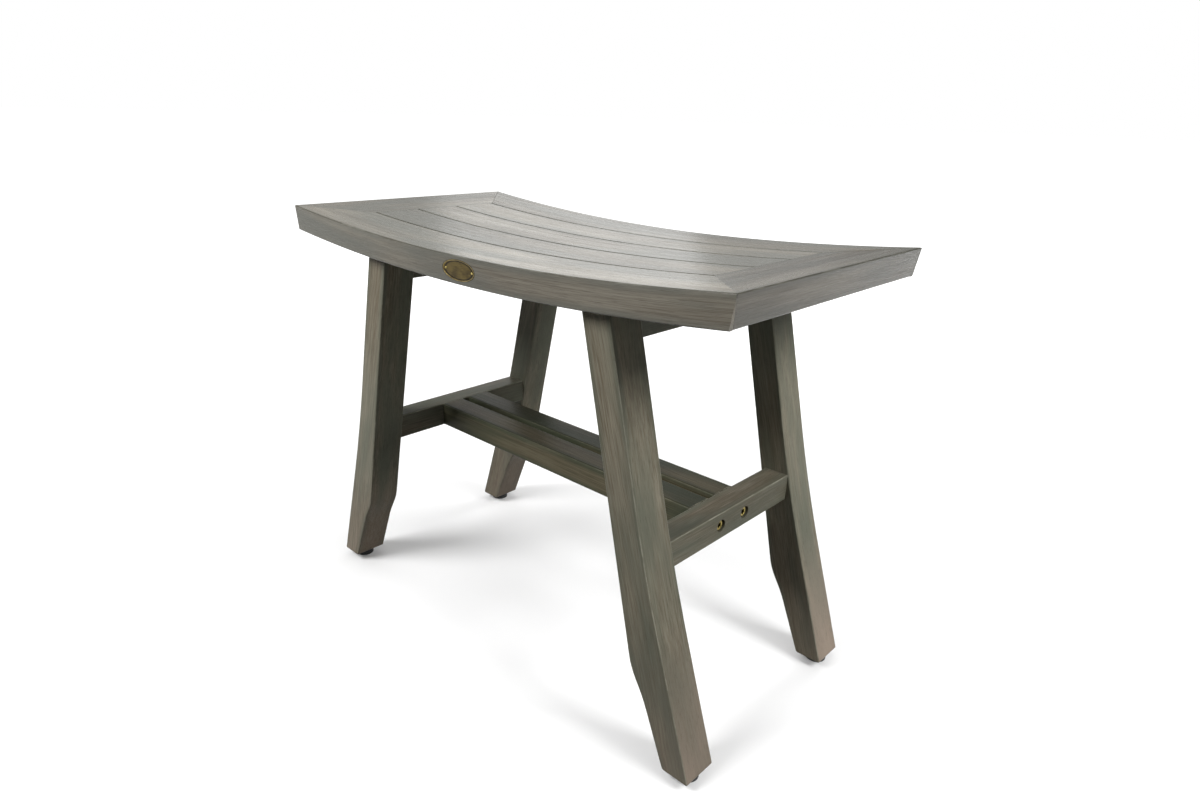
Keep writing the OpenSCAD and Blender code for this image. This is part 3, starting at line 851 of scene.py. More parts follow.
def grain_along(piece, axis, low, high, number):
    """Grain of a straight board along an axis, between the corners of its box."""
    order = [axis, (axis + 1) % 3, (axis + 2) % 3]
    middle = (np.array(low) + np.array(high)) / 2
    half = ((np.array(high) - np.array(low)) / 2)[order]
    grain = (points_of(piece) - middle)[:, order]
    write_grain(piece, grain, grain / half, np.broadcast_to(half, grain.shape), number)


def dress(piece, finish, slot, body, *nodes):
    """Gives a piece its finish, and lets it stand for CAD nodes on a body."""
    piece.data.materials.clear()
    piece.data.materials.append(finish)
    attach(piece, body)
    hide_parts(*nodes)
    print(f"{piece.name}: {len(piece.data.polygons)} faces")
    return piece


print("each board carries", ", ".join(GRAIN_LAYERS))

# %% [markdown]
# ## The bent boards of the seat
# The three slats and the two long rails are one kind of board: a straight bar, bent to the
# seat's arc, with square or mitred ends. That is a rule, so Geometry Nodes make them. The tree
# takes a plain bar, moves its ends by the mitre, stores its straight grain before it bends it,
# lays it on the arc, and repeats it across the seat. The same tree makes every bent board, with
# other numbers.

# %% Open, close and run a geometry tree


def open_tree(name, sizes, counts=()):
    """A new geometry tree with named inputs: Geometry, the sizes, of which the counts are whole
    numbers, and a Material."""
    group = bpy.data.node_groups.new(name, "GeometryNodeTree")
    group.interface.new_socket("Geometry", in_out="OUTPUT", socket_type="NodeSocketGeometry")
    group.interface.new_socket("Geometry", in_out="INPUT", socket_type="NodeSocketGeometry")
    for size in sizes:
        kind = "NodeSocketInt" if size in counts else "NodeSocketFloat"
        group.interface.new_socket(size, in_out="INPUT", socket_type=kind)
    group.interface.new_socket("Material", in_out="INPUT", socket_type="NodeSocketMaterial")
    tree = Tree(group)
    return tree, tree.add("NodeGroupInput").outputs


def close_tree(tree, geometry, inputs):
    """Makes the instances real, gives them the material, and ends the tree."""
    smooth = tree.add("GeometryNodeSetShadeSmooth", {"Geometry": geometry})
    real = tree.add("GeometryNodeRealizeInstances", {"Geometry": smooth.outputs["Geometry"]})
    dressed = tree.add(
        "GeometryNodeSetMaterial",
        {"Geometry": real.outputs["Geometry"], "Material": inputs["Material"]},
    )
    tree.add("NodeGroupOutput", {"Geometry": dressed.outputs["Geometry"]})
    return tree.tree


def run_tree(piece, group, values):
    """Adds the tree to a piece as a modifier, with its inputs set by their identifiers."""
    modifier = piece.modifiers.new(group.name, "NODES")
    modifier.node_group = group
    for socket in group.interface.items_tree:
        if socket.in_out == "INPUT" and socket.name in values:
            modifier[socket.identifier] = values[socket.name]


made(open_tree, close_tree, run_tree)

# %% Steps that several trees share


def store(tree, geometry, name, value, kind="FLOAT_VECTOR", domain="POINT"):
    """Stores a named attribute on a geometry."""
    node = tree.add(
        "GeometryNodeStoreNamedAttribute",
        {"Geometry": geometry, "Name": name, "Value": value},
        data_type=kind, domain=domain,
    )
    return node.outputs["Geometry"]


def position(tree):
    """The place of each point."""
    return tree.add("GeometryNodeInputPosition").outputs["Position"]


def moved(tree, geometry, place):
    """A geometry whose points are set to new places."""
    node = tree.add("GeometryNodeSetPosition", {"Geometry": geometry, "Position": place})
    return node.outputs["Geometry"]


def numbered(tree, copies, first):
    """Gives each copy a board number of its own, counted on from the first."""
    index = tree.add("GeometryNodeInputIndex").outputs[0]
    number = tree.math("MULTIPLY_ADD", index, BOARD_STEP, first)
    return store(tree, copies, "board", number, "FLOAT", "INSTANCE")


made(store, position, moved, numbered)

# %% The tree for bent boards
# Beyond this share of a bar's half length a point lies on its end. A point's shares of the width
# and of the thickness add up to 2 on a long edge and to 1 in the middle of a face
END_SHARE = 0.9999
EDGE_SHARES = 1.5


def bent_board_tree():
    """Bars bent to the seat's arc: their ends can be mitred, and they repeat across the seat."""
    tree, sizes = open_tree("bent_boards", (
        "Length", "Width", "Thickness", "Mitre", "Stations", "Arc radius", "Arc height",
        "Inner ease", "Count", "First place", "Pitch", "First number",
    ), counts=("Stations", "Count"))
    whole = tree.join(sizes["Length"], sizes["Width"], sizes["Thickness"])
    bar = tree.add("GeometryNodeMeshCube", {
        "Size": whole, "Vertices X": sizes["Stations"], "Vertices Y": 2, "Vertices Z": 2,
    }).outputs["Mesh"]
    half = tree.vector("MULTIPLY", whole, (0.5, 0.5, 0.5))
    x, y, z = tree.split(position(tree))
    half_x, half_y, half_z = tree.split(half)

    # A mitre leaves the ends of one long edge and moves those of the other, in or out
    drawn_in = tree.times(sizes["Mitre"], tree.plus(y, half_y))
    new_x = tree.times(x, tree.minus(1.0, tree.over(drawn_in, half_x)))
    bar = store(tree, bar, "grain", tree.join(new_x, y, z))
    bar = store(tree, bar, "section", tree.vector("DIVIDE", position(tree), half))
    bar = store(tree, bar, "half", half)

    # The ends and the long edges are rounded, most of all the edge that faces out of the seat
    at_end = tree.math(
        "GREATER_THAN", tree.math("ABSOLUTE", x), tree.times(half_x, END_SHARE))
    across = tree.over(y, half_y)
    shares = tree.plus(
        tree.math("ABSOLUTE", across), tree.math("ABSOLUTE", tree.over(z, half_z)))
    outward = tree.times(tree.times(across, sizes["Mitre"]), -1.0)
    bar = store(tree, bar, "rub", tree.math("MULTIPLY_ADD", outward, 0.5, 0.5), "FLOAT")
    outer = tree.minus(tree.math("GREATER_THAN", outward, 0.5), at_end)
    softness = tree.mix(tree.math("MAXIMUM", outer, 0.0), sizes["Inner ease"], 1.0)
    rounded = tree.math("MAXIMUM", tree.math("GREATER_THAN", shares, EDGE_SHARES), at_end)
    softness = tree.times(rounded, softness)
    bar = store(tree, bar, "bevel_weight_edge", softness, "FLOAT", "EDGE")

    # Every layer of the board lies on an arc of its own, round the same middle
    radius = tree.plus(sizes["Arc radius"], tree.minus(half_z, z))
    squares = tree.minus(tree.math("POWER", radius, 2.0), tree.math("POWER", new_x, 2.0))
    new_z = tree.minus(sizes["Arc height"], tree.math("SQRT", squares))
    bent = moved(tree, bar, tree.join(new_x, y, new_z))

    places = tree.add("GeometryNodeMeshLine", {
        "Count": sizes["Count"],
        "Start Location": tree.join(0.0, sizes["First place"], 0.0),
        "Offset": tree.join(0.0, sizes["Pitch"], 0.0),
    }).outputs["Mesh"]
    copies = tree.add("GeometryNodeInstanceOnPoints", {"Points": places, "Instance": bent})
    copies = numbered(tree, copies.outputs["Instances"], sizes["First number"])
    return close_tree(tree, copies, sizes)


bent_boards = bent_board_tree()
print("tree:", bent_boards.name, "with", len(bent_boards.nodes), "nodes")

# %% The slats
LONG_EASE = 1.5 * MM
JOINT_EASE = 0.4 * MM
BOARD_STATIONS = 41
SLATS = ("seat_slat_front", "seat_slat_middle", "seat_slat_back")
first_slat_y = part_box(SLATS[0])[0].y
slat_pitch = slat_low.y - first_slat_y


def bent_board(name, node, half_length, low_y, width, mitre=0.0, count=1):
    """Bent boards of one kind, as an object whose modifiers are still live."""
    piece = put(name, bpy.data.meshes.new(name))
    run_tree(piece, bent_boards, {
        "Length": 2 * half_length, "Width": width, "Thickness": BOARD_THICKNESS, "Mitre": mitre,
        "Stations": BOARD_STATIONS, "Arc radius": arc_radius, "Arc height": arc_height,
        "Inner ease": JOINT_EASE / LONG_EASE, "Count": count,
        "First place": low_y + width / 2, "Pitch": slat_pitch,
        "First number": BOARD_NUMBERS[node], "Material": seat_teak,
    })
    round_edges(piece, LONG_EASE)
    return piece


slats = bent_board(
    "seat_slats", SLATS[0], slat_half, first_slat_y, slat_high.y - slat_low.y, count=len(SLATS))
dress(settle(slats), seat_teak, "teak_seat", "bench", *SLATS)

# %% The undercut saw and the oval of the badge
SAW_BLOCK = 60 * MM
OVAL_SIDES = 96
seat_height = seat_top(seat_half)


def undercut_saw(name):
    """Two blocks that cut the tips off a long rail, outside the undercut end faces."""
    work = bmesh.new()
    size = Matrix.Diagonal((SAW_BLOCK, 8 * rail_width, 4 * SAW_BLOCK, 1))
    for side in (-1, 1):
        lean = Matrix.Rotation(side * END_UNDERCUT, 4, "Y")
        place = Matrix.Translation((side * seat_half, 0, seat_height)) @ lean
        shift = Matrix.Translation((side * SAW_BLOCK / 2, 0, 0))
        bmesh.ops.create_cube(work, size=1, matrix=place @ shift @ size)
    return object_of(name, work)


def oval_ring(centre, half_length, half_height, y):
    """An upright ring of points, seen from the front as an oval."""
    angles = [math.tau * i / OVAL_SIDES for i in range(OVAL_SIDES)]
    return [
        Vector((
            centre.x + half_length * math.cos(angle), y,
            centre.z + half_height * math.sin(angle),
        ))
        for angle in angles
    ]


def bridge(name, rings):
    """A closed solid through rings of points, without any rounding."""
    none = [0.0] * len(rings[0])
    piece = loft(name, rings, none, none, none)
    piece.modifiers.clear()
    return piece


made(undercut_saw, oval_ring, bridge)

# %% The two long rails
RECESS_GAP = 0.15 * MM
RECESS_FRONT = 2 * MM


def bent_grain(piece, half_length, low_y, mitre, number):
    """Writes a bent rail's grain anew, because a saw cut leaves new points without any."""
    x, y, z = points_of(piece).T
    half_z = BOARD_THICKNESS / 2
    through = half_z - (np.hypot(x, arc_height - z) - arc_radius)
    across = y - low_y - rail_width / 2
    reach = half_length - mitre * (across + rail_width / 2)
    half = columns(reach, rail_width / 2, half_z)
    grain = columns(x, across, through)
    for name in GRAIN_LAYERS:
        piece.data.attributes.remove(piece.data.attributes[name])
    rub = 0.5 - mitre * across / rail_width
    write_grain(piece, grain, grain / half, half, number, rub)


def long_rail(name, node, half_length, mitre, *hollows):
    """A rail along the front or the back of the seat, with hollows let into it."""
    low_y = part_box(node)[0].y
    rail = bent_board(name, node, half_length, low_y, rail_width, mitre)
    cutters = (undercut_saw(name + "_saw"), *hollows)
    for cutter in cutters:
        cut(rail, cutter)
    settle(rail, *cutters)
    bent_grain(rail, half_length, low_y, mitre, BOARD_NUMBERS[node])
    dress(rail, seat_teak, "teak_seat", "bench", node)


plate_low, plate_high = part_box("badge_plate")
plate_centre = middle_of((plate_low, plate_high))
plate_half_length = (plate_high.x - plate_low.x) / 2
plate_half_height = (plate_high.z - plate_low.z) / 2
recess = bridge("badge_recess", [
    oval_ring(plate_centre, plate_half_length + RECESS_GAP, plate_half_height + RECESS_GAP, y)
    for y in (seat_front - RECESS_FRONT, plate_high.y + RECESS_GAP)
])
long_rail("seat_rail_front", "seat_front_rail", seat_half, 1.0, recess)
long_rail("seat_rail_back", "seat_back_rail", slat_half, -1.0)

# %% [markdown]
# ## The end rails
# The grain of an end rail runs from front to back, so this board isn't bent: it is a straight
# bar whose top and underside are planed to the seat's arc and whose outer face is undercut. Its
# outline is drawn once and carried along the bar, and the first and last outlines lie on the
# mitres.

# %% Loft the end rails
ARC_POINTS = 8
END_RAIL_RINGS = 9
FOOT_ROUNDS = 4
ENDS = {"left": -1, "right": 1}


def end_rail_outline(side):
    """Corners (x, z) of an end rail and the radius of each: top, outer face, underside."""
    # The foot of the undercut depends on the height there, so it is worked out in a few rounds
    foot = seat_half
    for _ in range(FOOT_ROUNDS):
        foot = seat_half - (seat_height - seat_under(foot)) * math.tan(END_UNDERCUT)
    top = [slat_half + (seat_half - slat_half) * i / ARC_POINTS for i in range(ARC_POINTS + 1)]
    under = [foot + (slat_half - foot) * i / ARC_POINTS for i in range(ARC_POINTS + 1)]
    corners = [(side * x, seat_top(x)) for x in top] + [(side * x, seat_under(x)) for x in under]
    smooth = [0.0] * (ARC_POINTS - 1)
    radii = [JOINT_EASE, *smooth, LONG_EASE, LONG_EASE, *smooth, JOINT_EASE]
    return corners, radii


def end_rail(name, side, number):
    """One end rail, mitred at both ends."""
    corners, radii = end_rail_outline(side)
    rings = [
        [Vector((x, share * (-seat_front - (seat_half - abs(x))), z)) for x, z in corners]
        for share in np.linspace(-1, 1, END_RAIL_RINGS)
    ]
    joint = [JOINT_EASE] * len(corners)
    piece = settle(loft(name, rings, radii, joint, joint))
    x, y, z = points_of(piece).T
    middle_x = side * (slat_half + seat_half) / 2
    middle_z = (seat_top(middle_x) + seat_under(middle_x)) / 2
    tops = np.array([seat_top(place) for place in x])
    unders = np.array([seat_under(place) for place in x])
    reach = -seat_front - (seat_half - np.abs(x))
    across = (x - middle_x) / (rail_width / 2)
    section = columns(y / reach, across, (2 * z - tops - unders) / (tops - unders))
    half = columns(reach, rail_width / 2, (tops - unders) / 2)
    grain = columns(y, x - middle_x, z - middle_z)
    write_grain(piece, grain, section, half, number, (1 + side * across) / 2)
    return piece


for end, side in ENDS.items():
    node = f"seat_end_rail_{end}"
    end_piece = end_rail(f"seat_end_{end}", side, BOARD_NUMBERS[node])
    dress(end_piece, seat_teak, "teak_seat", "bench", node)

# %% [markdown]
# ## The legs
# A leg is sawn from a straight plank: its outer face bends a little at the shelf, its inner face
# swells above the foot and draws in at the ankle. The frame knows that outline, so the leg is
# measured in slices and lofted through them, which gives clean rows of faces along its length.
# The grain stays straight, from the foot to the seat, as in the plank.

# %% Measure the legs
SLICE_STEP = 6 * MM
FOOT_EASE = 3 * MM
CORNERS = ("front_left", "front_right", "back_left", "back_right")


def leg_slices(node):
    """Heights and the lowest and highest x of a leg, from the foot to the seat."""
    low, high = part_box(node)
    first = low.z + 2 * FOOT_EASE
    last = seat_under(low.x if low.x > 0 else high.x) - FOOT_EASE
    heights = np.linspace(first, last, round((last - first) / SLICE_STEP))
    slices = np.array([slice_x(node, height) for height in heights])
    foot = slices[0] + (slices[0] - slices[1]) * (first - low.z) / (heights[1] - heights[0])
    return np.array([low.z, *heights]), np.vstack([foot, slices])


for corner in CORNERS:
    widths = np.ptp(leg_slices(f"leg_{corner}")[1], axis=1)
    print(f"leg_{corner}: {widths.min() / MM:.1f} to {widths.max() / MM:.1f} mm wide")

# %% Loft the legs
LEG_EASE = 1.6 * MM
HOLE_GAP = 0.15 * MM
INSERT_RUN_IN = 1 * MM
BARE_FOOT = 150 * MM
# The feet's front and back take this share of the pale colour that their sides take, where it is
# also a painted light
FRONT_SHARE_OF_BARE_AND_SIDE_LIGHT = 0.4


def upright_hole(box, start_height):
    """A hole from start_height up into the wood for the turned part in this box."""
    start = middle_of(box)
    end = middle_of(box)
    start.z = start_height
    end.z = box[1].z + HOLE_GAP
    return start, end, (box[1].x - box[0].x) / 2 + HOLE_GAP


def leg(name, node, number):
    """One leg, bored for the insert of its glide."""
    low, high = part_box(node)
    heights, slices = leg_slices(node)
    rings = [
        [Vector((x, y, z)) for x, y in (
            (x_low, low.y), (x_high, low.y), (x_high, high.y), (x_low, high.y))]
        for z, (x_low, x_high) in zip(heights, slices)
    ]
    rise = (slices[-1] - slices[-2]) / (heights[-1] - heights[-2])
    top = []
    for corner, slope in zip(rings[-1], (rise[0], rise[1], rise[1], rise[0])):
        height = seat_under(corner.x + slope * FOOT_EASE)
        top.append(Vector((corner.x + slope * (height - corner.z), corner.y, height)))
    rings.append(top)
    feet = [LEG_EASE, FOOT_EASE, LEG_EASE, FOOT_EASE]
    piece = loft(name, rings, [LEG_EASE] * 4, feet, [JOINT_EASE / 2] * 4)
    holes = [
        upright_hole(box, low.z - INSERT_RUN_IN) for box in solids_of("foot_inserts")
        if low.x < middle_of(box).x < high.x and low.y < middle_of(box).y < high.y
    ]
    settle(piece, bore(piece, holes))

    # The section follows the outline, and the grain runs straight from the foot to the seat
    x, y, z = points_of(piece).T
    stations = [*heights, top[0].z + FOOT_EASE]
    lows = np.interp(z, stations, [*slices[:, 0], min(corner.x for corner in top)])
    highs = np.interp(z, stations, [*slices[:, 1], max(corner.x for corner in top)])
    half_z = (high.z - low.z) / 2
    half = columns(half_z, (highs - lows) / 2, (high.y - low.y) / 2)
    middle = columns(low.z + half_z, (highs + lows) / 2, (high.y + low.y) / 2)
    section = (columns(z, x, y) - middle) / half
    foot_middle = np.array(Vector((slices[0].mean(), (low.y + high.y) / 2, low.z)))
    plank = Vector((slices[-1].mean() - slices[0].mean(), 0, heights[-1] - low.z)).normalized()
    axes = np.array([plank, plank.cross(Vector((0, 1, 0))), (0, 1, 0)])
    write_grain(piece, (points_of(piece) - foot_middle) @ axes.T, section, half, number)

    # The foot is barer towards the floor, from water, and its sides take more of the pale colour
    # than its front and back: there it is also a painted light on the sides
    near_floor = np.interp(z, (low.z, BARE_FOOT), (1.0, 0.0))
    on_lit_side = np.abs(section[:, 1]) > np.abs(section[:, 2])
    write_layer(piece, "foot", near_floor * np.where(on_lit_side, 1.0, FRONT_SHARE_OF_BARE_AND_SIDE_LIGHT))
    return piece


for corner in CORNERS:
    node = f"leg_{corner}"
    dress(leg(f"{node}_dressed", node, BOARD_NUMBERS[node]), leg_teak, "teak_leg", "bench", node)

# %% [markdown]
# ## Rails and shelf
# The rails and the shelf boards are straight bars. A bar is a loft of two rings, so one function
# makes them all: it takes the bar's box, the way it runs and the radius of its edges. The rail
# under the seat is planed on top to the seat's arc, which moves two of its corners.

# %% Make a bar
# A rim's points lie this near to the hole's radius, and between these shares below a face
RIM_REACH = 0.2 * MM
RIM_FLAT = 0.002
RIM_DEPTH = 0.05


def bar_rings(axis, low, high, lift=None):
    """Two rings of four corners at the ends of a box, along an axis. lift may move a corner."""
    across, up = (axis + 1) % 3, (axis + 2) % 3
    rings = []
    for end in (low, high):
        ring = []
        for side, level in ((low, low), (high, low), (high, high), (low, high)):
            corner = Vector()
            corner[axis] = end[axis]
            corner[across] = side[across]
            corner[up] = level[up]
            ring.append(lift(corner) if lift else corner)
        rings.append(ring)
    return rings


def wear_and_highlight_rims(piece, holes):
    """Lets the finish rub the rims of bored holes, as if these lay on the board's own edges: worn
    rims, which also stand in for a painted highlight.
    """
    points = points_of(piece)
    layer = piece.data.attributes["section"].data
    section = np.zeros(points.size)
    layer.foreach_get("vector", section)
    section = section.reshape(-1, 3)
    margin = 1 - np.abs(section).max(1)
    near_face = (margin > RIM_FLAT) & (margin < RIM_DEPTH)
    for start, end, radius in holes:
        axis = np.array((end - start).normalized())
        reach = points - np.array(start)
        reach -= np.outer(reach @ axis, axis)
        away = np.linalg.norm(reach, axis=1)
        section[(np.abs(away - radius) < RIM_REACH) & near_face] = 1.0
    layer.foreach_set("vector", section.astype(np.float32).ravel())


def bar(name, node, axis, ease, holes, finish, slot, lift=None):
    """A straight bar in the box of a CAD node, with eased edges, bored holes and its finish."""
    low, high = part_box(node)
    joint = [JOINT_EASE] * 4
    piece = loft(name, bar_rings(axis, low, high, lift), [ease] * 4, joint, joint)
    settle(piece, bore(piece, holes))
    grain_along(piece, axis, low, high, BOARD_NUMBERS[node])
    # Rubbed rims: wear, and also a painted highlight
    wear_and_highlight_rims(piece, holes)
    dress(piece, finish, slot, "bench", node)


made(bar_rings, wear_and_highlight_rims, bar)

# %% The rails of the leg frames
BOLT_HEAD_HEIGHT = 6 * MM
COUNTERBORE_RADIUS = 6.5 * MM
COUNTERBORE_RUN_IN = 9 * MM


def counterbores(node, axis, way, side):
    """Holes for the heads of those bolts of a node that are on one side of the bench. The heads
    face along an axis, up it if way is 1 and down it if way is -1."""
    holes = []
    for box in solids_of(node):
        if side * middle_of(box).x > 0:
            start = middle_of(box)
            end = middle_of(box)
            mouth = box[way > 0][axis]
            start[axis] = mouth + way * COUNTERBORE_RUN_IN
            end[axis] = mouth - way * BOLT_HEAD_HEIGHT
            holes.append((start, end, COUNTERBORE_RADIUS))
    return holes


def lift_to_seat(corner):
    """Moves an upper corner of the rail under the seat onto the seat's underside."""
    if corner.z > seat_under(0):
        corner.z = seat_under(corner.x)
    return corner


for end, side in ENDS.items():
    bar(f"rail_under_seat_{end}", f"top_rail_{end}", Y, JOINT_EASE * 2,
        counterbores("seat_bolts", Z, -1, side), leg_teak, "teak_leg", lift_to_seat)
    bar(f"lower_rail_{end}", f"stretcher_{end}", Y, LONG_EASE,
        counterbores("shelf_bolts", X, side, side), leg_teak, "teak_leg")

# %% The shelf
SHELF_EASE = 2.4 * MM
NUT_HOLE_RUN_IN = 12 * MM

for place in ("front", "back"):
    node = f"shelf_board_{place}"
    low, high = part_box(node)
    nut_holes = [
        upright_hole(box, box[0].z - NUT_HOLE_RUN_IN) for box in solids_of("barrel_nuts")
        if low.y < middle_of(box).y < high.y
    ]
    bar(f"shelf_{place}", node, X, SHELF_EASE, nut_holes, shelf_teak, "teak_shelf")

# %% [markdown]
# ## Threads, bolts and screws
# A screw thread is a rule too: the radius of the rod falls and rises as you go round it and
# along it. So the rod is a cylinder with many rings, and each of its points is drawn in by a
# formula of its angle and its height. A bolt adds a turned head with a hexagon socket cut out
# of it. The tree is given one point for each bolt, with the way it points, and sets a bolt on
# each. The same rod, without a head, makes the screws of the glides.

# %% The thread
ROD_SIDES = 24
STEPS_PER_TURN = 8
THREAD_DEPTH = 0.55
RUN_IN = (0.0, 0.05)
RUN_OUT = (0.96, 1.0)


def cylinder(tree, sides, radius, depth, segments=1):
    """An upright cylinder whose side is parted into segments."""
    return tree.add("GeometryNodeMeshCylinder", {
        "Vertices": sides, "Side Segments": segments, "Radius": radius, "Depth": depth,
    }).outputs["Mesh"]


def threaded_rod(tree, radius, start, length, threaded, pitch):
    """A rod up the Z axis, from start to length, with a thread on its last part."""
    turns = tree.over(threaded, pitch)
    steps = tree.plus(tree.math("CEIL", tree.times(turns, STEPS_PER_TURN)), 1.0)
    plain = cylinder(tree, ROD_SIDES, radius, 1.0, steps)

    # The first ring marks the start, and the others are spread along the thread
    x, y, z = tree.split(position(tree))
    station = tree.times(tree.plus(z, 0.5), steps)
    share = tree.over(tree.minus(station, 1.0), tree.minus(steps, 1.0))
    height = tree.math("MULTIPLY_ADD", share, threaded, tree.minus(length, threaded))
    height = tree.mix(tree.math("LESS_THAN", station, 0.5), height, start)

    # The groove winds with the angle and the height, runs in softly and ends in a point
    angle = tree.over(tree.math("ARCTAN2", y, x), math.tau)
    wound = tree.plus(tree.over(height, pitch), angle)
    groove = tree.times(tree.math("PINGPONG", wound, 0.5), 2 * THREAD_DEPTH)
    depth = tree.times(tree.times(groove, pitch), tree.ramp(share, *RUN_IN))
    point = tree.times(tree.ramp(share, *RUN_OUT), tree.times(pitch, 0.5))
    narrow = tree.minus(1.0, tree.over(tree.math("MAXIMUM", depth, point), radius))
    place = tree.join(tree.times(x, narrow), tree.times(y, narrow), height)
    return moved(tree, plain, place)


def set_on_points(tree, inputs, copy):
    """Sets a copy on each point of the input, turned the way that the point says."""
    pointing = tree.add(
        "GeometryNodeInputNamedAttribute", {"Name": "pointing"}, data_type="FLOAT_VECTOR")
    turn = tree.add(
        "FunctionNodeAlignRotationToVector", {"Vector": pointing.outputs["Attribute"]}, axis="Z")
    return tree.add("GeometryNodeInstanceOnPoints", {
        "Points": inputs["Geometry"], "Instance": copy, "Rotation": turn.outputs["Rotation"],
    }).outputs["Instances"]


made(cylinder, threaded_rod, set_on_points)

# %% The trees for bolts and for screws
HEAD_SIDES = 48
HEAD_ROOT = 1.0 * MM
RIM_ANGLE = math.radians(75)


def joined(tree, *geometries):
    """Several geometries as one."""
    node = tree.add("GeometryNodeJoinGeometry")
    for geometry in geometries:
        tree.feed(node.inputs["Geometry"], geometry)
    return node.outputs["Geometry"]


def lifted(tree, geometry, height):
    """A geometry moved along Z."""
    return tree.add("GeometryNodeTransform", {
        "Geometry": geometry, "Translation": tree.join(0.0, 0.0, height),
    }).outputs["Geometry"]


def bolt_tree():
    """Socket-head bolts: the underside of the head is at the point, the shank points on."""
    tree, sizes = open_tree("socket_head_bolts", (
        "Head radius", "Head height", "Socket width", "Socket depth", "Radius", "Length",
        "Threaded", "Pitch"))
    head = cylinder(tree, HEAD_SIDES, sizes["Head radius"], sizes["Head height"])
    head = lifted(tree, head, tree.times(sizes["Head height"], -0.5))
    hexagon = cylinder(
        tree, 6, tree.over(sizes["Socket width"], math.sqrt(3)),
        tree.times(sizes["Socket depth"], 2.0))
    hexagon = lifted(tree, hexagon, tree.times(sizes["Head height"], -1.0))
    socketed = tree.add(
        "GeometryNodeMeshBoolean", {"Mesh 1": head, "Mesh 2": hexagon}, operation="DIFFERENCE")
    angle = tree.add("GeometryNodeInputMeshEdgeAngle").outputs["Unsigned Angle"]
    sharp = tree.math("GREATER_THAN", angle, RIM_ANGLE)
    head = store(tree, socketed.outputs["Mesh"], "bevel_weight_edge", sharp, "FLOAT", "EDGE")
    rod = threaded_rod(
        tree, sizes["Radius"], -HEAD_ROOT, sizes["Length"], sizes["Threaded"], sizes["Pitch"])
    bolt = store(tree, joined(tree, head, rod), "spot", position(tree))
    return close_tree(tree, set_on_points(tree, sizes, bolt), sizes)


def screw_tree():
    """Screws without a head, threaded all along."""
    tree, sizes = open_tree("threaded_screws", ("Radius", "Length", "Pitch"))
    threaded = tree.minus(sizes["Length"], sizes["Pitch"])
    rod = threaded_rod(tree, sizes["Radius"], 0.0, sizes["Length"], threaded, sizes["Pitch"])
    rod = store(tree, rod, "spot", position(tree))
    return close_tree(tree, set_on_points(tree, sizes, rod), sizes)


bolts_by_tree = bolt_tree()
screws_by_tree = screw_tree()
print("trees:", bolts_by_tree.name, "and", screws_by_tree.name)

# %% Set the bolts
HEAD_EDGE = 0.45 * MM
SOCKET_WIDTH = 5 * MM
SOCKET_DEPTH = 3 * MM
BOLT_RADIUS = 3 * MM
BOLT_THREADED = 24 * MM
BOLT_PITCH = 1.0 * MM


def on_points(name, group, places, ways, values):
    """Runs a tree on points, each with the way that its copy points."""
    mesh = bpy.data.meshes.new(name)
    mesh.from_pydata([tuple(place) for place in places], [], [])
    piece = put(name, mesh)
    write_layer(piece, "pointing", [tuple(way) for way in ways])
    run_tree(piece, group, values)
    return piece


def lengthwise(box):
    """The axis along which a fastener lies, its middle, its length and its radius."""
    size = box[1] - box[0]
    axis = max((X, Y, Z), key=lambda i: size[i])
    return axis, middle_of(box), size[axis], min(size) / 2


def bolts(name, node, outwards):
    """Bolts in the boxes of a CAD node. outwards is the way that a bolt's head faces."""
    places, ways = [], []
    for box in solids_of(node):
        middle, length, head_radius = lengthwise(box)[1:]
        way = -outwards(middle)
        places.append(middle + way * (BOLT_HEAD_HEIGHT - length / 2))
        ways.append(way)
    piece = on_points(name, bolts_by_tree, places, ways, {
        "Head radius": head_radius, "Head height": BOLT_HEAD_HEIGHT,
        "Socket width": SOCKET_WIDTH, "Socket depth": SOCKET_DEPTH, "Radius": BOLT_RADIUS,
        "Length": length - BOLT_HEAD_HEIGHT, "Threaded": BOLT_THREADED, "Pitch": BOLT_PITCH,
        "Material": bolt_brass,
    })
    round_edges(piece, HEAD_EDGE)
    dress(settle(piece), bolt_brass, "brass", "bench", node)


bolts("bolts_of_shelf", "shelf_bolts", lambda middle: Vector((math.copysign(1, middle.x), 0, 0)))
bolts("bolts_of_seat", "seat_bolts", lambda middle: Vector((0, 0, -1)))

# %% Set the screws of the glides
SCREW_PITCH = 1.25 * MM

for foot in CORNERS:
    low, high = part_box(f"glide_stud_{foot}")
    start = middle_of((low, high))
    start.z = low.z
    screw = on_points(f"screw_{foot}", screws_by_tree, [start], [(0, 0, 1)], {
        "Radius": (high.x - low.x) / 2, "Length": high.z - low.z, "Pitch": SCREW_PITCH,
        "Material": zinc_steel,
    })
    dress(settle(screw), zinc_steel, "steel", f"glide_{foot}", f"glide_stud_{foot}")

# %% [markdown]
# ## Dowels and badge pins
# Glued dowels are fluted, so that the glue can rise, and their ends are chamfered. A flute is a
# wave round the dowel, so the tree needs only the number of flutes and their depth. The two pins
# of the badge have domed heads. All of these sit where the frame has them.

# %% The trees for dowels and pins
DOWEL_SIDES = 48
DOWEL_SEGMENTS = 3
END_STATION = 0.4
BALL_SIDES = 32


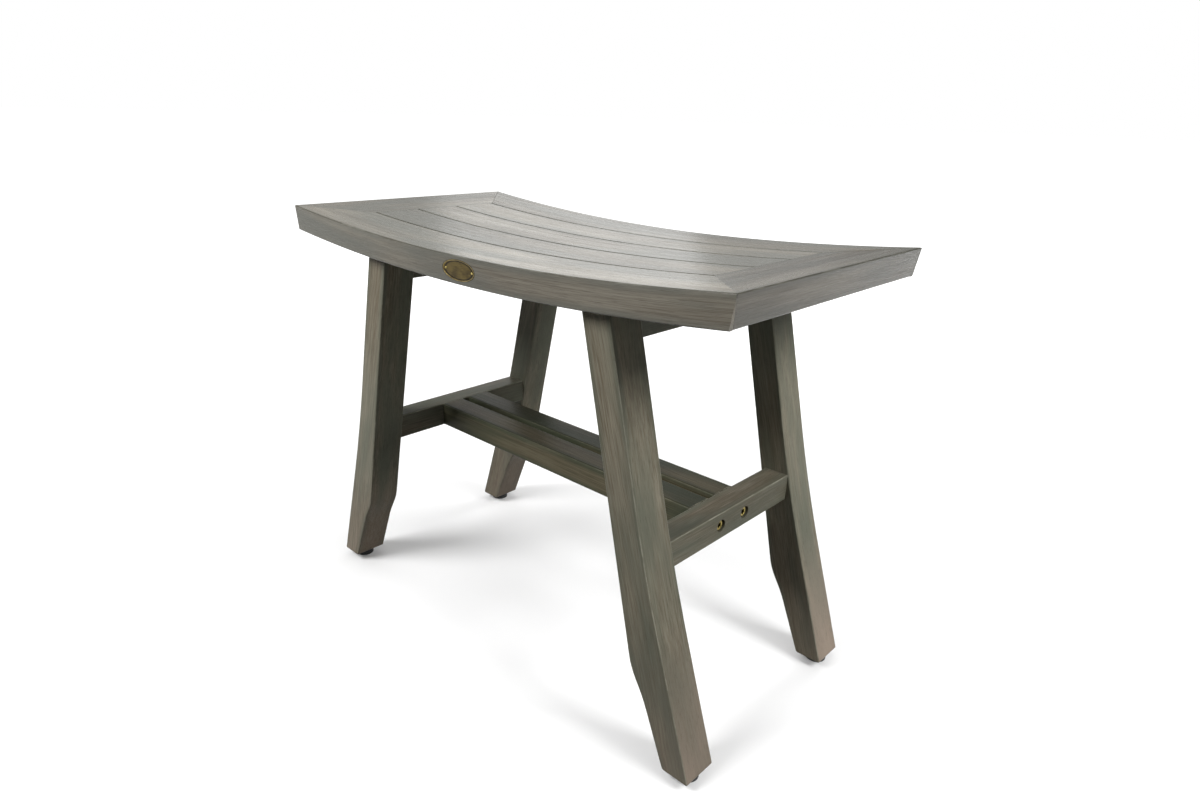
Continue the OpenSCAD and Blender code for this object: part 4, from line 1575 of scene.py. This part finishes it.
def dowel_tree():
    """Fluted dowels, centred on their points."""
    tree, sizes = open_tree(
        "fluted_dowels", ("Radius", "Length", "Flutes", "Flute depth", "Chamfer"))
    rod = cylinder(tree, DOWEL_SIDES, sizes["Radius"], 1.0, DOWEL_SEGMENTS)

    # The outer two of its four rings are the ends, and the inner two the feet of the chamfers
    x, y, z = tree.split(position(tree))
    at_end = tree.math("GREATER_THAN", tree.math("ABSOLUTE", z), END_STATION)
    inset = tree.times(sizes["Chamfer"], tree.minus(1.0, at_end))
    reach = tree.minus(tree.times(sizes["Length"], 0.5), inset)
    height = tree.times(tree.math("SIGN", z), reach)
    angle = tree.times(tree.math("ARCTAN2", y, x), sizes["Flutes"])
    wave = tree.math("MULTIPLY_ADD", tree.math("COSINE", angle), 0.5, 0.5)
    shallow = tree.times(wave, sizes["Flute depth"])
    cut_in = tree.math("MULTIPLY_ADD", at_end, sizes["Chamfer"], shallow)
    narrow = tree.minus(1.0, tree.over(cut_in, sizes["Radius"]))

    # Then the dowel is shaped, and its grain runs up it
    rod = moved(tree, rod, tree.join(tree.times(x, narrow), tree.times(y, narrow), height))
    x, y, z = tree.split(position(tree))
    rod = store(tree, rod, "grain", tree.join(z, x, y))
    copies = numbered(tree, set_on_points(tree, sizes, rod), 0.0)
    return close_tree(tree, copies, sizes)


def pin_tree():
    """Round-head pins: the head's foot is at the point, the shank points on."""
    tree, sizes = open_tree(
        "round_head_pins", ("Radius", "Length", "Head radius", "Head height"))
    ball = tree.add("GeometryNodeMeshUVSphere", {
        "Segments": BALL_SIDES, "Rings": BALL_SIDES // 2, "Radius": 1.0}).outputs["Mesh"]
    size = tree.join(sizes["Head radius"], sizes["Head radius"], sizes["Head height"])
    head = moved(tree, ball, tree.vector("MULTIPLY", position(tree), size))
    shank = cylinder(tree, ROD_SIDES, sizes["Radius"], sizes["Length"])
    shank = lifted(tree, shank, tree.times(sizes["Length"], 0.5))
    pin = store(tree, joined(tree, head, shank), "spot", position(tree))
    return close_tree(tree, set_on_points(tree, sizes, pin), sizes)


dowels_by_tree = dowel_tree()
pins_by_tree = pin_tree()
print("trees:", dowels_by_tree.name, "and", pins_by_tree.name)

# %% Set the dowels
FLUTES = 12.0
FLUTE_DEPTH = 0.25 * MM
DOWEL_CHAMFER = 0.8 * MM
AXES = Matrix.Identity(3)

for name, node in (
    ("dowels_of_rails", "rail_dowels"), ("dowels_of_legs", "seat_dowels"),
    ("dowels_of_shelf", "shelf_dowels"),
):
    axes, middles, lengths, radii = zip(*[lengthwise(box) for box in solids_of(node)])
    dowels = on_points(name, dowels_by_tree, middles, [AXES[axis] for axis in axes], {
        "Radius": radii[0], "Length": lengths[0], "Flutes": FLUTES, "Flute depth": FLUTE_DEPTH,
        "Chamfer": DOWEL_CHAMFER, "Material": dowel_beech,
    })
    dress(settle(dowels), dowel_beech, "dowel_wood", "bench", node)

# %% [markdown]
# ## The loose tenons of the mitres
# Each mitre is held by a loose tenon, a slip of wood that lies across the joint. The frame has
# its shape already. A copy of it gets its loose triangles merged, its edges rounded and its
# grain, which runs across the mitre. The inserts and the barrel nuts are plain turned parts whose
# shape is right, so they stay as they are and only get better brass.

# %% Copy the tenons, and give the turned parts their brass
TENON_EASE = 1.2 * MM
TENON_NUMBER = 0.3
FLAT_ANGLE = math.radians(1)


def merged_copy(name, node):
    """A copy of a CAD node whose loose triangles are joined into flat faces."""
    work = bmesh.new()
    work.from_mesh(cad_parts[node].data)
    bmesh.ops.remove_doubles(work, verts=work.verts, dist=WELD)
    bmesh.ops.dissolve_limit(
        work, angle_limit=FLAT_ANGLE, verts=work.verts, edges=work.edges)
    weight = work.edges.layers.float.new("bevel_weight_edge")
    for edge in work.edges:
        edge[weight] = 1.0
    return object_of(name, work)


tenons = merged_copy("tenons_of_mitres", "mitre_tenons")
round_edges(tenons, TENON_EASE)
settle(tenons)
x, y, z = points_of(tenons).T
turned = np.sign(x * y)
grain = columns((x + turned * y) / math.sqrt(2), (x - turned * y) / math.sqrt(2), z)
write_grain(tenons, grain, np.zeros_like(grain), np.ones_like(grain), TENON_NUMBER)
dress(tenons, dowel_beech, "dowel_wood", "bench", "mitre_tenons")

for node in ("seat_inserts", "foot_inserts", "barrel_nuts"):
    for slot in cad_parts[node].material_slots:
        slot.material = bolt_brass
print("brass on the inserts and the barrel nuts")

# %% [markdown]
# ## The badge
# The badge is a thin oval plate, let into the front of the seat, with a raised rim round a blank
# field. It is lofted through ovals from its back, round its rim and into its field, which swells
# a little towards its middle, as a stamped plate does.

# %% Loft the badge and pin it
FIELD_DEPTH = 0.5 * MM
PIN_HEAD_RADIUS = 1.15 * MM
PIN_HEAD_HEIGHT = 0.45 * MM

# Rings of the badge, in millimetres: how far inside its edge, and how deep below its front
BADGE_RINGS = (
    (0.00, 0.30), (0.06, 0.12), (0.20, 0.02), (0.40, 0.00), (0.80, 0.00), (1.00, 0.04),
    (1.20, 0.38), (1.45, 0.50), (2.20, 0.49), (4.00, 0.45), (6.00, 0.42), (8.50, 0.40),
)
back_ring = (0.0, (plate_high.y - plate_low.y) / MM)
badge = bridge("badge", [
    oval_ring(plate_centre, plate_half_length - inset * MM, plate_half_height - inset * MM,
              plate_low.y + depth * MM)
    for inset, depth in (back_ring, *BADGE_RINGS)
])
settle(badge)
x, y, z = points_of(badge).T
from_middle = np.hypot(
    (x - plate_centre.x) / plate_half_length, (z - plate_centre.z) / plate_half_height)
field_y = plate_low.y + FIELD_DEPTH
write_layer(badge, "raised", (field_y - y) / FIELD_DEPTH)
write_layer(badge, "inset", (1 - from_middle) * plate_half_height)
dress(badge, badge_brass, "badge_brass", "bench", "badge_plate")

pin_boxes = solids_of("badge_pins")
places = [middle_of(box) for box in pin_boxes]
for place in places:
    place.y = field_y
low, high = pin_boxes[0]
pins = on_points("pins_of_badge", pins_by_tree, places, [(0, 1, 0)] * len(places), {
    "Radius": (high.x - low.x) / 2, "Length": high.y - field_y,
    "Head radius": PIN_HEAD_RADIUS, "Head height": PIN_HEAD_HEIGHT, "Material": bolt_brass,
})
dress(settle(pins), bolt_brass, "badge_brass", "bench", "badge_pins")

# %% [markdown]
# ## The glides
# A glide is a round nylon foot, moulded with a groove round its side and two more in its tread.
# It is turned: a profile of radius and height is carried round its middle. Each glide rides on
# its own body, because each can be screwed up and down.

# %% Turn the glides
GLIDE_SIDES = 64
STUD_GAP = 0.1 * MM
BORE_EDGE = 0.4 * MM

# The tread underneath, in millimetres: radius and height, from the middle outwards
TREAD = (
    (1.0, 0.0), (4.6, 0.0), (4.9, 0.4), (5.9, 0.4), (6.2, 0.0), (7.9, 0.0), (8.2, 0.4),
    (9.0, 0.4), (9.3, 0.0),
)
# The side, with its groove: how far inside the widest radius, and the height
SIDE = (
    (0.9, 0.0), (0.35, 0.12), (0.08, 0.4), (0.0, 0.9), (0.0, 2.5), (0.12, 2.7), (0.45, 2.85),
    (0.45, 3.25), (0.12, 3.4), (0.0, 3.6),
)
# The shoulder: how far inside the widest radius, and how far below the top
SHOULDER = ((0.0, 1.4), (0.15, 0.7), (0.55, 0.2), (1.2, 0.0))


def turned_solid(name, centre, profile):
    """A solid of revolution about an upright axis, from (radius, height) pairs."""
    angles = [math.tau * i / GLIDE_SIDES for i in range(GLIDE_SIDES)]
    return bridge(name, [
        [
            Vector((
                centre.x + radius * math.cos(angle), centre.y + radius * math.sin(angle), height))
            for angle in angles
        ]
        for radius, height in profile
    ])


for foot in CORNERS:
    low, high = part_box(f"glide_pad_{foot}")
    stud_low, stud_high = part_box(f"glide_stud_{foot}")
    outer = (high.x - low.x) / 2
    inner = (stud_high.x - stud_low.x) / 2 + STUD_GAP
    glide = settle(turned_solid(f"glide_{foot}_dressed", middle_of((low, high)), [
        *[(radius * MM, height * MM) for radius, height in TREAD],
        *[(outer - inset * MM, height * MM) for inset, height in SIDE],
        *[(outer - inset * MM, high.z - drop * MM) for inset, drop in SHOULDER],
        (inner + BORE_EDGE, high.z), (inner, high.z - BORE_EDGE), (inner, stud_low.z - STUD_GAP),
    ]))
    write_layer(glide, "spot", points_of(glide))
    dress(glide, black_nylon, "black_pad", f"glide_{foot}", f"glide_pad_{foot}")
